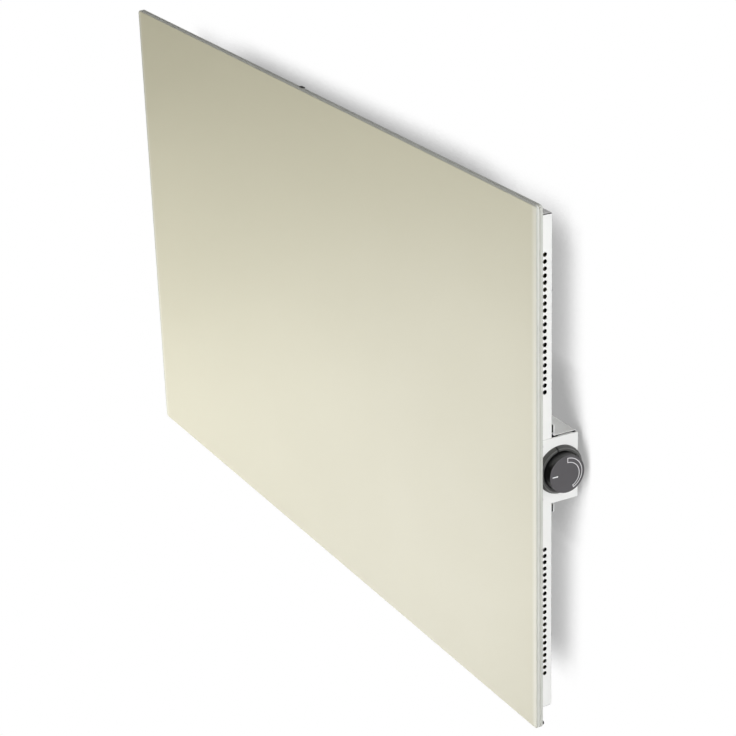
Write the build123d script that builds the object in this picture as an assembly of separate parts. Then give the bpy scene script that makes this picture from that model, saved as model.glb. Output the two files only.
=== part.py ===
from build123d import *
import os
from math import cos, radians, sin, tan

# Infrared panel heater that hangs on a wall. Millimetres. The origin lies in the wall's surface at the centre
# of the four wall screws. X runs along the panel, to the right seen from the room. Y runs into the wall, so the
# glass is at negative Y. Z is up.

# ---------------------------------------------------------------- driving dimensions
# laminated glass panel
panel_width = 1000.0
panel_height = 600.0
pane_thick = 4.0
pane_corner = 5.0
pane_arris = 1.0
bond_thick = 0.4
bond_setback = 0.8
busbar_width = 10.0
busbar_edge_x = 30.0
busbar_edge_z = 18.0
tail_edge = 40.0
tail_gap = 7.0
post_z = 120.0
post_hole_radius = 5.0
post_pin_radius = 2.0
post_head_radius = 4.6
post_head_thick = 1.2
post_length = 14.0
post_nut_height = 1.6
nut_half_across = 3.5

# folded steel case behind the glass
sheet = 1.0
case_inset_side = 14.0
case_inset_end = 15.0
case_depth = 18.6
case_corner = 3.0
case_bend = 2.2
case_flange = 14.0
bead_thick = 1.6
bead_width = 9.0
bead_setback = 1.5
cover_thick = 0.8
cover_inset = 3.0
cover_screw_line = 8.0
cover_screw_side = 100.0
cover_screw_pitch = 155.0
cover_screw_corner = 20.0
cover_screw_space = 60.0
cover_screw_shank = 5.0
vent_pitch = 7.54
vent_first = 91.0
vent_end = 43.0
vent_radius = 2.45
vent_from_cover = 9.4
wall_gap = 37.6
stiffener_width = 14.0
stiffener_height = 1.4
stiffener_wall = 2.0
stiffener_left_in = 136.0
stiffener_from_box = 156.0
stiffener_first = 55.0
stiffener_pitch = 110.0
stiffener_end = 100.0

# layers inside the case
board_gap = 1.0
mat_side_gap = 7.0
mat_end_gap = 4.0
bay_width = 116.0
bay_height = 330.0

# overheat cut-outs
cutout_z = 100.0
cutout_radius = 8.0
cutout_base = 5.0
cutout_cap_radius = 5.2
cutout_cap = 4.0
cutout_reach = 12.0
blade_half = 2.4
blade_thick = 0.8
blade_depth = 1.2

# control box and its plate
gasket_thick = 2.0
gasket_inset = 0.5
gasket_band = 8.0
box_depth = 28.0
box_half = 38.6
box_length = 118.0
box_end_gap = 2.5
box_flange = 11.8
box_bend = 0.8
box_screw_left = 12.0
box_screw_right = 16.0
box_screw_shank = 7.0
plate_half = 37.5
plate_thick = 1.5
plate_start = 2.2
plate_corner = 1.0
plate_arris = 0.3
plate_screw_in = 7.0
plate_screw_front = 3.5
plate_screw_shank = 5.0
tongue_length = 12.0
tongue_width = 18.0
tongue_clear = 0.3
cap_tab = 11.0
cap_screw_in = 4.0
cap_screw_shank = 4.0

# thermostat and knob, turning about an axis along X
axis_behind_cover = 7.1
body_half_y = 6.8
body_half_z = 22.0
body_length = 31.5
body_blade_length = 7.0
body_blade_root = 3.0
body_blades = (4.0, 15.0)
bush_radius = 5.0
bush_depth = 6.0
bush_length = 3.4
shaft_radius = 3.0
shaft_clear = 0.05
shaft_flat = 1.4
shaft_start = 10.0
screw_pitch = 28.0
body_screw_radius = 1.95
body_screw_depth = 8.0
collar_radius = 27.4
collar_height = 4.5
collar_rim = 22.4
collar_lip = 25.0
collar_step = 1.2
collar_base = 1.4
notch_width = 1.8
notch_depth = 1.1
notch_turn = 11.0
knob_radius = 21.5
knob_face_radius = 21.4
knob_edge = 0.5
knob_rest_gap = 0.8
knob_face_height = 15.0
knob_wall = 2.0
knob_rib = 1.4
knob_rib_depth = 5.0
hub_radius = 6.0
hub_gap = 0.6
mark_outer_start = 18.5
mark_outer_end = 18.3
mark_inner_start = 12.8
mark_inner_end = 15.2
mark_start_angle = 90.0
mark_end_angle = -66.0
mark_stroke = 0.75
dash_radius = 14.9
dash_length = 6.8
dash_half = 0.6
dash_dot_radius = 0.95
dash_dot_place = 12.6
mark_sunk = 0.4
mark_proud = 0.06
leaf_thick = 0.4
leaf_width = 4.0

# terminal block, earth stud, wires and cable entry
block_length = 18.0
block_width = 32.0
block_depth = 14.0
block_gap = 11.0
block_screw_edge = 3.2
pole_pitch = 10.0
pole_bore = 1.7
pole_screw_radius = 1.85
pole_screw_in = 4.5
earth_in = 62.0
earth_z = -25.0
stud_radius = 2.0
stud_head = 1.4
stud_length = 9.0
earth_nut_height = 1.8
lug_radius = 4.2
lug_thick = 0.8
barrel_start = 4.8
barrel_length = 5.0
barrel_wall = 0.6
wire_radius = 1.1
wire_in_pole = 8.0
wire_rise = 10.0
wire_turn = 8.0
wire_blade_run = 17.0
wire_cross = 3.0
wire_loop = 14.0
grommet_in = 54.0
grommet_bore = 6.5
grommet_hole = 9.0
grommet_lip = 11.0
grommet_overhang = 1.2
gland_radius = 8.0
gland_nose = 7.5
gland_bore = 4.0
gland_half_across = 9.5
gland_hex_length = 5.0
gland_nose_length = 7.0
gland_thread = 7.0
dome_length = 12.0
dome_lip = 2.5
dome_clear = 0.5
dome_grooves = 18
dome_groove_radius = 0.45
dome_groove_out = 0.15
locknut_height = 4.0

# sensor under the box
bulb_radius = 3.0
bulb_length = 68.0
bulb_drop = 26.0
bulb_lift = 1.0
bulb_clip_in = 12.0
bulb_clip_width = 6.0
bulb_clip_strip = 0.8
bulb_clip_foot = 9.0
clip_screw_shank = 4.0
capillary_radius = 0.8
capillary_in = 10.0
capillary_run = 18.0

# wall hardware
rail_sheet = 2.0
rail_bend = 1.2
rail_width = 640.0
rail_flange = 36.0
wall_hole_x = 280.0
wall_hole_drop = 80.0
wall_hole_radius = 3.5
hook_height = 14.0
hook_gap = 2.3
hook_reach = 31.0
hook_lift = 2.0
hanger_width = 600.0
hanger_screw_edge = 7.0
hanger_screw_pitch = 135.0
hanger_screw_end = 20.0
hanger_screw_shank = 7.0
hanger_to_cover_screw = 55.0
pad_thick = 3.0
pad_radius = 8.0
pad_drop = 18.0
lower_lip = 28.0
tab_width = 40.0
tab_gap = 0.5
tab_end = 6.0

# edge pieces
edge_clip_x = -24.0
edge_clip_half = 4.0
edge_clip_leaf = 0.6
edge_clip_lap = 3.0
bumper_radius = 2.5
bumper_height = 2.6
bumper_in = 4.2

# screws
screw_radius = 1.55
screw_hole = 1.6
clear_hole = 1.8
head_radius = 3.4
head_height = 2.2
slot_half = 0.4

# ---------------------------------------------------------------- planes and places that the sizes set
cover_back = -wall_gap
cover_front = cover_back - cover_thick
case_front = cover_front - case_depth
rear_pane_back = case_front - bead_thick
rear_pane_front = rear_pane_back - pane_thick
bond_front = rear_pane_front - bond_thick
glass_face = bond_front - pane_thick
case_x = panel_width / 2 - case_inset_side
case_z = panel_height / 2 - case_inset_end
screw_x = case_x - cover_screw_line
screw_z = case_z - cover_screw_line
corner_screw_x = case_x - cover_screw_corner
vent_y = cover_front - vent_from_cover
flange_front = cover_back + gasket_thick
flange_back = flange_front + sheet
crown_back = flange_front + box_depth
crown_front = crown_back - sheet
box_mid_y = (flange_front + crown_back) / 2
box_inside = box_half - sheet
box_edge = box_half + box_flange
box_right = case_x - box_end_gap
box_left = box_right - box_length
stiffener_left = stiffener_left_in - case_x
stiffener_right = box_left - stiffener_from_box
grommet_x = case_x - grommet_in
earth_x = case_x - earth_in
plate_face = case_x + plate_thick
axis_y = cover_back + axis_behind_cover
knob_base_x = plate_face + collar_base + knob_rest_gap
knob_face_x = plate_face + knob_face_height
hub_x = plate_face + bush_length + hub_gap
shaft_end = knob_face_x - 2 * knob_wall
film_left = -(panel_width / 2 - busbar_edge_x)
film_right = panel_width / 2 - tail_edge - busbar_width - tail_gap
tail_x = panel_width / 2 - tail_edge - busbar_width / 2
bar_z = panel_height / 2 - busbar_edge_z - busbar_width
wire_y = rear_pane_back + cutout_base + cutout_cap - blade_depth
body_left = case_x - body_length
blade_tip = body_left - body_blade_length
cap_plane = box_left + sheet
cap_screw_x = cap_plane + cap_tab - cap_screw_in
block_left = cap_plane + sheet + block_gap
block_right = block_left + block_length
block_front = crown_front - block_depth
pole_y = crown_front - block_depth / 2
block_screw_x = (block_left + block_right) / 2
block_screw_z = block_width / 2 - block_screw_edge
earth_lug_y = crown_front - earth_nut_height - lug_thick / 2
capillary_x = body_left + capillary_in
bulb_right = capillary_x - capillary_run
bulb_left = bulb_right - bulb_length
bulb_z = -(box_half + bulb_drop)
bulb_y = cover_back + bulb_lift + bulb_radius
clip_screw_z = bulb_z - bulb_radius - bulb_clip_foot * 2 / 3
wall_hole_z = panel_height / 2 - wall_hole_drop
wall_low = wall_hole_z - rail_flange / 2
wall_high = wall_hole_z + rail_flange / 2
lip_top = wall_high + hook_height
lip_back = -(hook_reach - rail_sheet)
hanger_front = lip_back + hook_gap
pad_back = cover_back + pad_thick
pad_z = -(wall_high - pad_drop)
tab_top = -case_z - tab_gap


# ---------------------------------------------------------------- helpers
def block(x0, x1, y0, y1, z0, z1):
    """A box between two corners."""
    return Pos((x0 + x1) / 2, (y0 + y1) / 2, (z0 + z1) / 2) * Box(abs(x1 - x0), abs(y1 - y0), abs(z1 - z0))


def flat(half_x, half_z, corner, front, thick):
    """A sheet parallel to the wall, centred on the panel, its front at y = front."""
    outline = Plane.XZ * RectangleRounded(2 * half_x, 2 * half_z, corner)
    return Pos(0, front, 0) * extrude(outline, -thick)


def rod_x(radius, x0, x1, y, z):
    return Pos((x0 + x1) / 2, y, z) * Rot(0, 90, 0) * Cylinder(radius, abs(x1 - x0))


def rod_y(radius, y0, y1, x, z):
    return Pos(x, (y0 + y1) / 2, z) * Rot(90, 0, 0) * Cylinder(radius, abs(y1 - y0))


def rod_z(radius, z0, z1, x, y):
    return Pos(x, y, (z0 + z1) / 2) * Cylinder(radius, abs(z1 - z0))


def nut_y(bore, y0, y1, x, z):
    """A hexagonal nut along Y."""
    outline = Plane.XZ * RegularPolygon(nut_half_across, 6, major_radius=False)
    return Pos(x, y0, z) * extrude(outline, -(y1 - y0)) - rod_y(bore, y0 - 1, y1 + 1, x, z)


def hexagon_x(half_across, x0, x1, y, z):
    outline = Plane.YZ * RegularPolygon(half_across, 6, major_radius=False)
    return Pos(x0, y, z) * extrude(outline, x1 - x0)


def turned_x(points, y, z):
    """A body turned about an X axis through y, z from (x, radius) points."""
    outline = make_face(Polyline(*points, close=True))
    return Pos(0, y, z) * revolve(outline, Axis.X)


def folded(points, thick, radii, side, x0, x1):
    """A folded sheet along X: (y, z) points follow one of its faces, and the sheet lies on the given side."""
    line = FilletPolyline(*points, radius=radii)
    section = make_face(offset(line, amount=thick, side=side, closed=True).edges())
    return Pos(x0, 0, 0) * extrude(Plane.YZ * section, x1 - x0)


def places_along(first, last, pitch):
    """Evenly spaced places from first, none past last."""
    return [first + step * pitch for step in range(int((last - first) / pitch) + 1)]


def both_sides(places):
    """The places and their mirror images, each once."""
    return sorted({sign * place for place in places for sign in (-1, 1)})


def rounded_end(body, axis, last, radius):
    """Rounds the edges of the outermost face along an axis."""
    face = body.faces().sort_by(axis)[-1 if last else 0]
    return fillet(face.edges(), radius)


def screw_y(x, z, seat, shank, radius=head_radius):
    """A pan head screw driven towards the room: its head sits on the plane y = seat."""
    top = seat + head_height
    head = rounded_end(rod_y(radius, seat, top, x, z), Axis.Y, True, head_height * 0.4)
    recess = block(x - radius * 0.6, x + radius * 0.6, top - 1, top + 1, z - slot_half, z + slot_half)
    recess += block(x - slot_half, x + slot_half, top - 1, top + 1, z - radius * 0.6, z + radius * 0.6)
    return head - recess + rod_y(screw_radius, seat - shank, seat, x, z)


def corner_radii(points):
    """The radius at each inner point of a wire: as large as its two runs allow."""
    radii = []
    for before, here, after in zip(points, points[1:], points[2:]):
        into = Vector(*here) - Vector(*before)
        away = Vector(*after) - Vector(*here)
        turn = radians(into.get_angle(away))
        radii.append(0.45 * min(into.length, away.length) / tan(turn / 2))
    return radii


def tube(name, points, radius):
    """A round wire of straight runs and tangent arcs."""
    radii = corner_radii(points)
    path = FilletPolyline(*points, radius=radii)
    section = Plane(origin=path @ 0, z_dir=path % 0) * Circle(radius)
    solid = sweep(section, path=path)
    print(name, "bend radii", [round(r, 1) for r in radii], "volume", round(solid.volume, 1),
          "section times length", round(section.area * path.length, 1))
    return solid


def together(solids):
    """Several separate solids as one node."""
    return Compound(children=[s if isinstance(s, Solid) else s.solids()[0] for s in solids])


# ---------------------------------------------------------------- laminated glass panel
def pane(front, room_side):
    """One pane: a full arris on its outer face and half of it on the bonded face."""
    glass = flat(panel_width / 2, panel_height / 2, pane_corner, front, pane_thick)
    glass = chamfer(glass.faces().sort_by(Axis.Y)[0 if room_side else -1].edges(), pane_arris)
    return chamfer(glass.faces().sort_by(Axis.Y)[-1 if room_side else 0].edges(), pane_arris / 2)


def make_rear_pane():
    glass = pane(rear_pane_front, False)
    for z in (-post_z, post_z):
        glass -= rod_y(post_hole_radius, rear_pane_front - 1, rear_pane_back + 1, tail_x, z)
    return glass


def make_heating_film():
    return block(film_left, film_right, bond_front, rear_pane_front, -bar_z, bar_z)


def busbar(side):
    """A copper strip along one long edge of the film, with a tail down the right side."""
    right = tail_x + busbar_width / 2
    top = bar_z + busbar_width
    strip = block(film_left, right, bond_front, rear_pane_front, side * bar_z, side * top)
    tail_end = side * (post_z - busbar_width / 2)
    return strip + block(right - busbar_width, right, bond_front, rear_pane_front, tail_end, side * top)


def make_bond_layer():
    half_x, half_z = panel_width / 2 - bond_setback, panel_height / 2 - bond_setback
    layer = flat(half_x, half_z, pane_corner - bond_setback, bond_front, bond_thick)
    return layer - make_heating_film() - busbar(1) - busbar(-1)


def contact_post(z):
    head = rod_y(post_head_radius, rear_pane_front, rear_pane_front + post_head_thick, tail_x, z)
    return head + rod_y(post_pin_radius, rear_pane_front, rear_pane_front + post_length, tail_x, z)


def ring_lug(side):
    """A crimped ring lug on a contact post, its barrel pointing away from the middle."""
    z = side * post_z
    lug = rod_y(lug_radius, wire_y - lug_thick / 2, wire_y + lug_thick / 2, tail_x, z)
    start, end = z + side * barrel_start, z + side * (barrel_start + barrel_length)
    lug += rod_z(wire_radius + barrel_wall, start, end, tail_x, wire_y)
    lug += block(tail_x - wire_radius, tail_x + wire_radius, wire_y - lug_thick / 2, wire_y + lug_thick / 2,
                 z + side * post_nut_height, start + side)
    return lug - rod_y(post_pin_radius, wire_y - lug_thick, wire_y + lug_thick, tail_x, z)


def make_contact_nuts():
    """Two nuts on each post, one each side of the lug."""
    lug_front, lug_back = wire_y - lug_thick / 2, wire_y + lug_thick / 2
    places = [(lug_front - post_nut_height, lug_front), (lug_back, lug_back + post_nut_height)]
    return together([nut_y(post_pin_radius, y0, y1, tail_x, z) for z in (post_z, -post_z) for y0, y1 in places])


# ---------------------------------------------------------------- case
def hanger_screw_places():
    last = hanger_width / 2 - hanger_screw_end
    return [(x, screw_z) for x in both_sides(places_along(0, last, hanger_screw_pitch))]


def cover_screw_places():
    """Screw places around the cover, clear of the hanging rail at the top and of the box at the right."""
    heights = both_sides(places_along(cover_screw_side, screw_z - cover_screw_space, cover_screw_side))
    sides = [(side * screw_x, z) for side in (-1, 1) for z in heights]
    top = [(x, screw_z) for x in both_sides([hanger_width / 2 + hanger_to_cover_screw, corner_screw_x])]
    low = places_along(0, case_x - cover_screw_space, cover_screw_pitch) + [corner_screw_x]
    return sides + top + [(x, -screw_z) for x in both_sides(low)]


def plate_screw_places():
    z = plate_half - plate_screw_in
    return [(case_front + plate_screw_front, -z), (case_front + plate_screw_front, z)]


def make_case_frame():
    """The four sides in one: a wall with a flange turned inwards at its front and at its back."""
    frame = rounded_end(flat(case_x, case_z, case_corner, case_front, case_depth), Axis.Y, True, case_bend)
    inner_depth = case_depth - 2 * sheet
    hollow = flat(case_x - sheet, case_z - sheet, case_corner - sheet, case_front + sheet, inner_depth)
    hollow = rounded_end(hollow, Axis.Y, True, case_bend - sheet)
    mouth = flat(case_x - case_flange, case_z - case_flange, case_corner, case_front - 1, case_depth + 2)
    frame = frame - hollow - mouth
    for z in both_sides(places_along(vent_first, case_z - vent_end, vent_pitch)):
        for side in (-1, 1):
            frame -= rod_x(vent_radius, side * (case_x - 2 * sheet), side * (case_x + 1), vent_y, z)
    for x, z in cover_screw_places() + hanger_screw_places():
        frame -= rod_y(screw_hole, cover_front - 2 * sheet, cover_front + 1, x, z)
    for y, z in plate_screw_places():
        frame -= rod_x(screw_hole, case_x - 2 * sheet, case_x + 1, y, z)
    return frame - rod_z(screw_hole, -case_z - 1, -case_z + 2 * sheet, 0, vent_y)


def make_silicone_bead():
    half_x, half_z = case_x - bead_setback, case_z - bead_setback
    bead = flat(half_x, half_z, case_corner, rear_pane_back, bead_thick)
    half_x, half_z = half_x - bead_width, half_z - bead_width
    return bead - flat(half_x, half_z, case_corner, rear_pane_back - 1, bead_thick + 2)


def box_screw_places():
    z = box_half + box_flange / 2
    return [(x, sign * z) for x in (box_left + box_screw_left, box_right - box_screw_right) for sign in (-1, 1)]


def bulb_clip_places():
    return (bulb_left + bulb_clip_in, bulb_right - bulb_clip_in)


def stiffener(z):
    """A pressed ridge on the cover's back, and the hollow behind it."""
    place = Pos((stiffener_left + stiffener_right) / 2, 0, z)
    half_x, half_z = (stiffener_right - stiffener_left) / 2, stiffener_width / 2
    ridge = flat(half_x, half_z, half_z - 0.1, cover_back, stiffener_height)
    ridge = rounded_end(ridge, Axis.Y, True, stiffener_height * 0.7)
    inner_x, inner_z = half_x - stiffener_wall, half_z - stiffener_wall
    hollow = flat(inner_x, inner_z, inner_z - 0.1, cover_front, stiffener_height)
    return place * ridge, place * hollow


def make_rear_cover():
    cover = flat(case_x - cover_inset, case_z - cover_inset, case_corner, cover_front, cover_thick)
    for z in both_sides(places_along(stiffener_first, case_z - stiffener_end, stiffener_pitch)):
        ridge, hollow = stiffener(z)
        cover = cover + ridge - hollow
    for x, z in cover_screw_places() + hanger_screw_places():
        cover -= rod_y(clear_hole, cover_front - 1, cover_back + 1, x, z)
    for x, z in box_screw_places() + [(x, clip_screw_z) for x in bulb_clip_places()]:
        cover -= rod_y(screw_hole, cover_front - 1, cover_back + 1, x, z)
    return cover - rod_y(grommet_hole, cover_front - 1, cover_back + 1, grommet_x, 0)


def make_reflector_board():
    """A foil-faced board in the mouth of the case, flat against the rear pane."""
    clear = case_flange + board_gap
    back = case_front + sheet
    board = flat(case_x - clear, case_z - clear, case_corner, rear_pane_back, back - rear_pane_back)
    for z in (-post_z, post_z):
        board -= rod_y(post_hole_radius + 1, rear_pane_back - 1, back + 1, tail_x, z)
    for z in (-cutout_z, cutout_z):
        board -= rod_y(cutout_radius + 1, rear_pane_back - 1, back + 1, grommet_x, z)
    return board


def make_insulation_mat():
    """A mineral fibre mat that fills the case but for the wiring bay at the control side."""
    front, back = case_front + sheet, cover_front - sheet
    half_x = case_x - sheet - mat_side_gap
    half_z = case_z - sheet - mat_end_gap
    mat = flat(half_x, half_z, case_corner, front, back - front)
    mat -= block(half_x - bay_width, half_x + 1, front - 1, back + 1, -bay_height / 2, bay_height / 2)
    for x, z in cover_screw_places() + hanger_screw_places():
        mat -= rod_y(clear_hole + 1, front + sheet, back + 1, x, z)
    return mat


def overheat_cutout(z):
    """A bimetal disc pressed on the rear pane, with two blades in line along Z."""
    cap_front = rear_pane_back + cutout_base
    body = rod_y(cutout_radius, rear_pane_back, cap_front, grommet_x, z)
    body += rod_y(cutout_cap_radius, cap_front, cap_front + cutout_cap, grommet_x, z)
    blade_y0, blade_y1 = wire_y - blade_thick / 2, wire_y + blade_thick / 2
    return body + block(grommet_x - blade_half, grommet_x + blade_half, blade_y0, blade_y1,
                        z - cutout_reach, z + cutout_reach)


# ---------------------------------------------------------------- control box
def make_box_gasket():
    """A dark heat barrier under the box flanges, set back from their edges."""
    half = box_edge - gasket_inset
    inner = half - gasket_band
    pad = block(box_left, box_right - gasket_inset, cover_back, flange_front, -half, half)
    pad -= block(box_left + gasket_band, box_right + 1, cover_back - 1, flange_front + 1, -inner, inner)
    for x, z in box_screw_places():
        pad -= rod_y(clear_hole, cover_back - 1, flange_front + 1, x, z)
    return pad


def make_control_box():
    """A sheet folded to a hat: flanges on the case, two walls, and a crown towards the wall."""
    points = [(flange_back, box_edge), (flange_back, box_half), (crown_back, box_half), (crown_back, -box_half),
              (flange_back, -box_half), (flange_back, -box_edge)]
    radii = [box_bend, box_bend + sheet, box_bend + sheet, box_bend]
    box = folded(points, sheet, radii, Side.RIGHT, box_left, box_right)
    for x, z in box_screw_places():
        box -= rod_y(clear_hole, flange_front - 1, flange_back + 1, x, z)
    for sign in (-1, 1):
        box -= rod_z(clear_hole, sign * (box_inside - 1), sign * (box_half + 1), cap_screw_x, box_mid_y)
    box -= rod_z(capillary_radius + 1, -box_half - 1, -box_inside + 1, capillary_x, axis_y)
    box -= rod_y(screw_hole, crown_front - 1, crown_back + 1, block_screw_x, block_screw_z)
    return box - rod_y(stud_radius, crown_front - 1, crown_back + 1, earth_x, earth_z)


def make_box_end_cap():
    """Closes the left end of the box; its two tabs are screwed to the box walls."""
    half = box_inside - tongue_clear
    cap = block(cap_plane, cap_plane + sheet, flange_front, crown_front - tongue_clear, -half, half)
    for sign in (-1, 1):
        cap += block(cap_plane, cap_plane + cap_tab, box_mid_y - tongue_width / 2, box_mid_y + tongue_width / 2,
                     sign * (half - sheet), sign * half)
        cap -= rod_z(screw_hole, sign * (half - sheet - 1), sign * (half + 1), cap_screw_x, box_mid_y)
    return cap - rod_x(gland_radius, cap_plane - 1, cap_plane + sheet + 1, box_mid_y, 0)


def cap_screw(sign):
    top = box_half + head_height * 0.75
    head = rod_z(head_radius - 0.4, sign * box_half, sign * top, cap_screw_x, box_mid_y)
    head = rounded_end(head, Axis.Z, sign > 0, 0.7)
    x0, x1 = cap_screw_x - head_radius, cap_screw_x + head_radius
    head -= block(x0, x1, box_mid_y - slot_half, box_mid_y + slot_half, sign * (top - 0.7), sign * (top + 1))
    end = sign * (box_half - cap_screw_shank)
    return head + rod_z(screw_radius, end, sign * box_half, cap_screw_x, box_mid_y)


def make_control_plate():
    """The white end plate: it laps the case side and closes the box, located by two inner tongues."""
    front = rear_pane_back + plate_start
    outline = Plane.YZ * RectangleRounded(crown_back - front, 2 * plate_half, plate_corner)
    plate = Pos(case_x, (front + crown_back) / 2, 0) * extrude(outline, plate_thick)
    plate = chamfer(plate.faces().sort_by(Axis.X)[-1].edges(), plate_arris)
    top = box_inside - tongue_clear
    y0, y1 = box_mid_y - tongue_width / 2, box_mid_y + tongue_width / 2
    for sign in (-1, 1):
        plate += block(case_x - tongue_length, case_x, y0, y1, sign * (top - sheet), sign * top)
    for y, z in plate_screw_places():
        plate -= rod_x(clear_hole, case_x - 1, plate_face + 1, y, z)
        plate -= turned_x(countersink(clear_hole, 0), y, z)
    plate -= rod_x(bush_radius, case_x - 1, plate_face + 1, axis_y, 0)
    for z in (-screw_pitch / 2, screw_pitch / 2):
        plate -= rod_x(body_screw_radius + 0.2, case_x - 1, plate_face + 1, axis_y, z)
    return plate


def countersink(radius, sunk):
    """The cone of a countersunk head, as (x, radius) points."""
    depth = plate_thick * 0.8
    return [(plate_face - depth, 0), (plate_face - depth, radius), (plate_face - sunk, radius + depth - sunk),
            (plate_face - sunk, 0)]


def plate_screw(y, z):
    sunk = 0.1
    screw = turned_x(countersink(clear_hole - sunk, sunk), y, z)
    screw += rod_x(screw_radius, case_x - plate_screw_shank, plate_face - plate_thick / 3, y, z)
    return screw - block(plate_face - 0.6, plate_face + 1, y - 2, y + 2, z - slot_half, z + slot_half)


# ---------------------------------------------------------------- thermostat, collar and knob
def make_thermostat_body():
    body = block(body_left, case_x, axis_y - body_half_y, axis_y + body_half_y, -body_half_z, body_half_z)
    body = fillet(body.edges().filter_by(Axis.X), 1.5)
    body -= rod_x(bush_radius, case_x - bush_depth, case_x + 1, axis_y, 0)
    body -= rod_x(shaft_radius + 0.6, body_left + shaft_start - 2, case_x, axis_y, 0)
    for z in (-screw_pitch / 2, screw_pitch / 2):
        body -= rod_x(body_screw_radius, case_x - body_screw_depth - 1, case_x + 1, axis_y, z)
    for z in body_blades:
        body -= body_blade(z)
    return body - rod_z(capillary_radius, -body_half_z - 1, -body_half_z + 4, capillary_x, axis_y)


def body_blade(z):
    return block(blade_tip, body_left + body_blade_root, axis_y - blade_half, axis_y + blade_half,
                 z - blade_thick / 2, z + blade_thick / 2)


def make_thermostat_bush():
    """The brass bush that the shaft turns in; it stands through the plate into the collar."""
    bush = rod_x(bush_radius, case_x - bush_depth, plate_face + bush_length, axis_y, 0)
    bush = chamfer(bush.faces().sort_by(Axis.X)[-1].edges(), 0.4)
    x0, x1 = case_x - bush_depth - 1, plate_face + bush_length + 1
    return bush - rod_x(shaft_radius + shaft_clear, x0, x1, axis_y, 0)


def thermostat_screw(z):
    seat = plate_face + collar_base
    head = rod_x(head_radius, seat, seat + 2.0, axis_y, z)
    head = rounded_end(head, Axis.X, True, 0.8)
    head -= block(seat + 1.2, seat + 3, axis_y - 4, axis_y + 4, z - slot_half, z + slot_half)
    return head + rod_x(body_screw_radius, case_x - body_screw_depth, seat, axis_y, z)


def make_dial_collar():
    """A dish whose bevelled rim rings the knob, with the index notch near the top."""
    x = plate_face
    rim_x = x + collar_height
    points = [(x, bush_radius + 0.4), (x, collar_radius), (x + collar_step, collar_radius), (rim_x, collar_lip),
              (rim_x, collar_rim), (x + collar_base, collar_rim), (x + collar_base, bush_radius + 0.4)]
    collar = turned_x(points, axis_y, 0)
    for z in (-screw_pitch / 2, screw_pitch / 2):
        collar -= rod_x(body_screw_radius + 0.2, x - 1, x + collar_base + 1, axis_y, z)
    skin = [(x + collar_step - notch_depth, collar_radius + 1), (rim_x - notch_depth, collar_lip),
            (rim_x - notch_depth, collar_rim - 1), (rim_x + 1, collar_rim - 1), (rim_x + 1, collar_radius + 1)]
    slot = block(x, rim_x + 2, -notch_width / 2, notch_width / 2, 0, collar_radius + 2)
    slot = Pos(0, axis_y, 0) * Rot(notch_turn, 0, 0) * slot
    return collar - (turned_x(skin, axis_y, 0) & slot)


def d_section(top, x0, x1):
    """A round rod of the shaft's size with a flat at height top."""
    rod = rod_x(shaft_radius, x0, x1, axis_y, 0)
    return rod - block(x0 - 1, x1 + 1, axis_y - shaft_radius, axis_y + shaft_radius, top, shaft_radius + 1)


def make_thermostat_shaft():
    round_end = plate_face + bush_length + hub_gap / 2
    shaft = rod_x(shaft_radius, body_left + shaft_start, round_end, axis_y, 0)
    return shaft + d_section(shaft_flat, round_end, shaft_end)


def polar(radius, degrees):
    """A point on the knob's face; angles run counter-clockwise from the wall side, seen from the right."""
    return radius * cos(radians(degrees)), radius * sin(radians(degrees))


def mark_arc(start_radius, end_radius):
    """An arc about the knob's axis whose radius changes evenly from its start to its end."""
    middle = polar((start_radius + end_radius) / 2, (mark_start_angle + mark_end_angle) / 2)
    return ThreePointArc(polar(start_radius, mark_start_angle), middle, polar(end_radius, mark_end_angle))


def mark_outlines():
    """The printed marks: an outlined wedge that narrows clockwise from the top, and a dash at the front."""
    outer = mark_arc(mark_outer_start, mark_outer_end)
    inner = mark_arc(mark_inner_start, mark_inner_end)
    wedge = make_face([outer, Line(outer @ 1, inner @ 1), inner, Line(inner @ 0, outer @ 0)])
    dash = Pos(-dash_radius, 0) * RectangleRounded(dash_length, 2 * dash_half, 0.9 * dash_half)
    dash += Pos(-dash_dot_place, 0) * Circle(dash_dot_radius)
    return [wedge - offset(wedge, -mark_stroke), dash]


def mark_solids(proud):
    face = Plane((knob_face_x - mark_sunk, axis_y, 0), x_dir=(0, 1, 0), z_dir=(1, 0, 0))
    return [extrude(face * outline, mark_sunk + proud).solids()[0] for outline in mark_outlines()]


def make_control_knob():
    inside = knob_radius - knob_wall
    roof = knob_face_x - knob_wall
    shoulder = knob_face_x - knob_edge
    points = [(knob_base_x, inside), (knob_base_x, knob_radius), (shoulder, knob_face_radius),
              (knob_face_x, knob_face_radius - knob_edge), (knob_face_x, 0), (roof, 0), (roof, inside)]
    knob = turned_x(points, axis_y, 0)
    rims = [e for e in knob.edges().filter_by(GeomType.CIRCLE) if e.center().X > shoulder - 0.01]
    knob = fillet(rims, knob_edge * 0.6)
    knob += rod_x(hub_radius, hub_x, roof + 0.5, axis_y, 0)
    for quarter in range(4):
        rib = block(roof - knob_rib_depth, roof, -knob_rib / 2, knob_rib / 2, hub_radius - 0.5, inside + 0.5)
        knob += Pos(0, axis_y, 0) * Rot(45 + 90 * quarter, 0, 0) * rib
    knob -= d_section(shaft_flat + leaf_thick, hub_x - 1, shaft_end)
    for solid in mark_solids(1.0):
        knob -= solid
    return knob


def make_knob_clip():
    """A flat leaf between the shaft's flat and the hub, which keeps the knob on."""
    return block(hub_x, shaft_end, axis_y - leaf_width / 2, axis_y + leaf_width / 2, shaft_flat,
                 shaft_flat + leaf_thick)


# ---------------------------------------------------------------- sensor
def make_sensor_bulb():
    bulb = rod_x(bulb_radius, bulb_left, bulb_right, bulb_y, bulb_z)
    return fillet(bulb.edges().filter_by(GeomType.CIRCLE), bulb_radius * 0.4)


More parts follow.
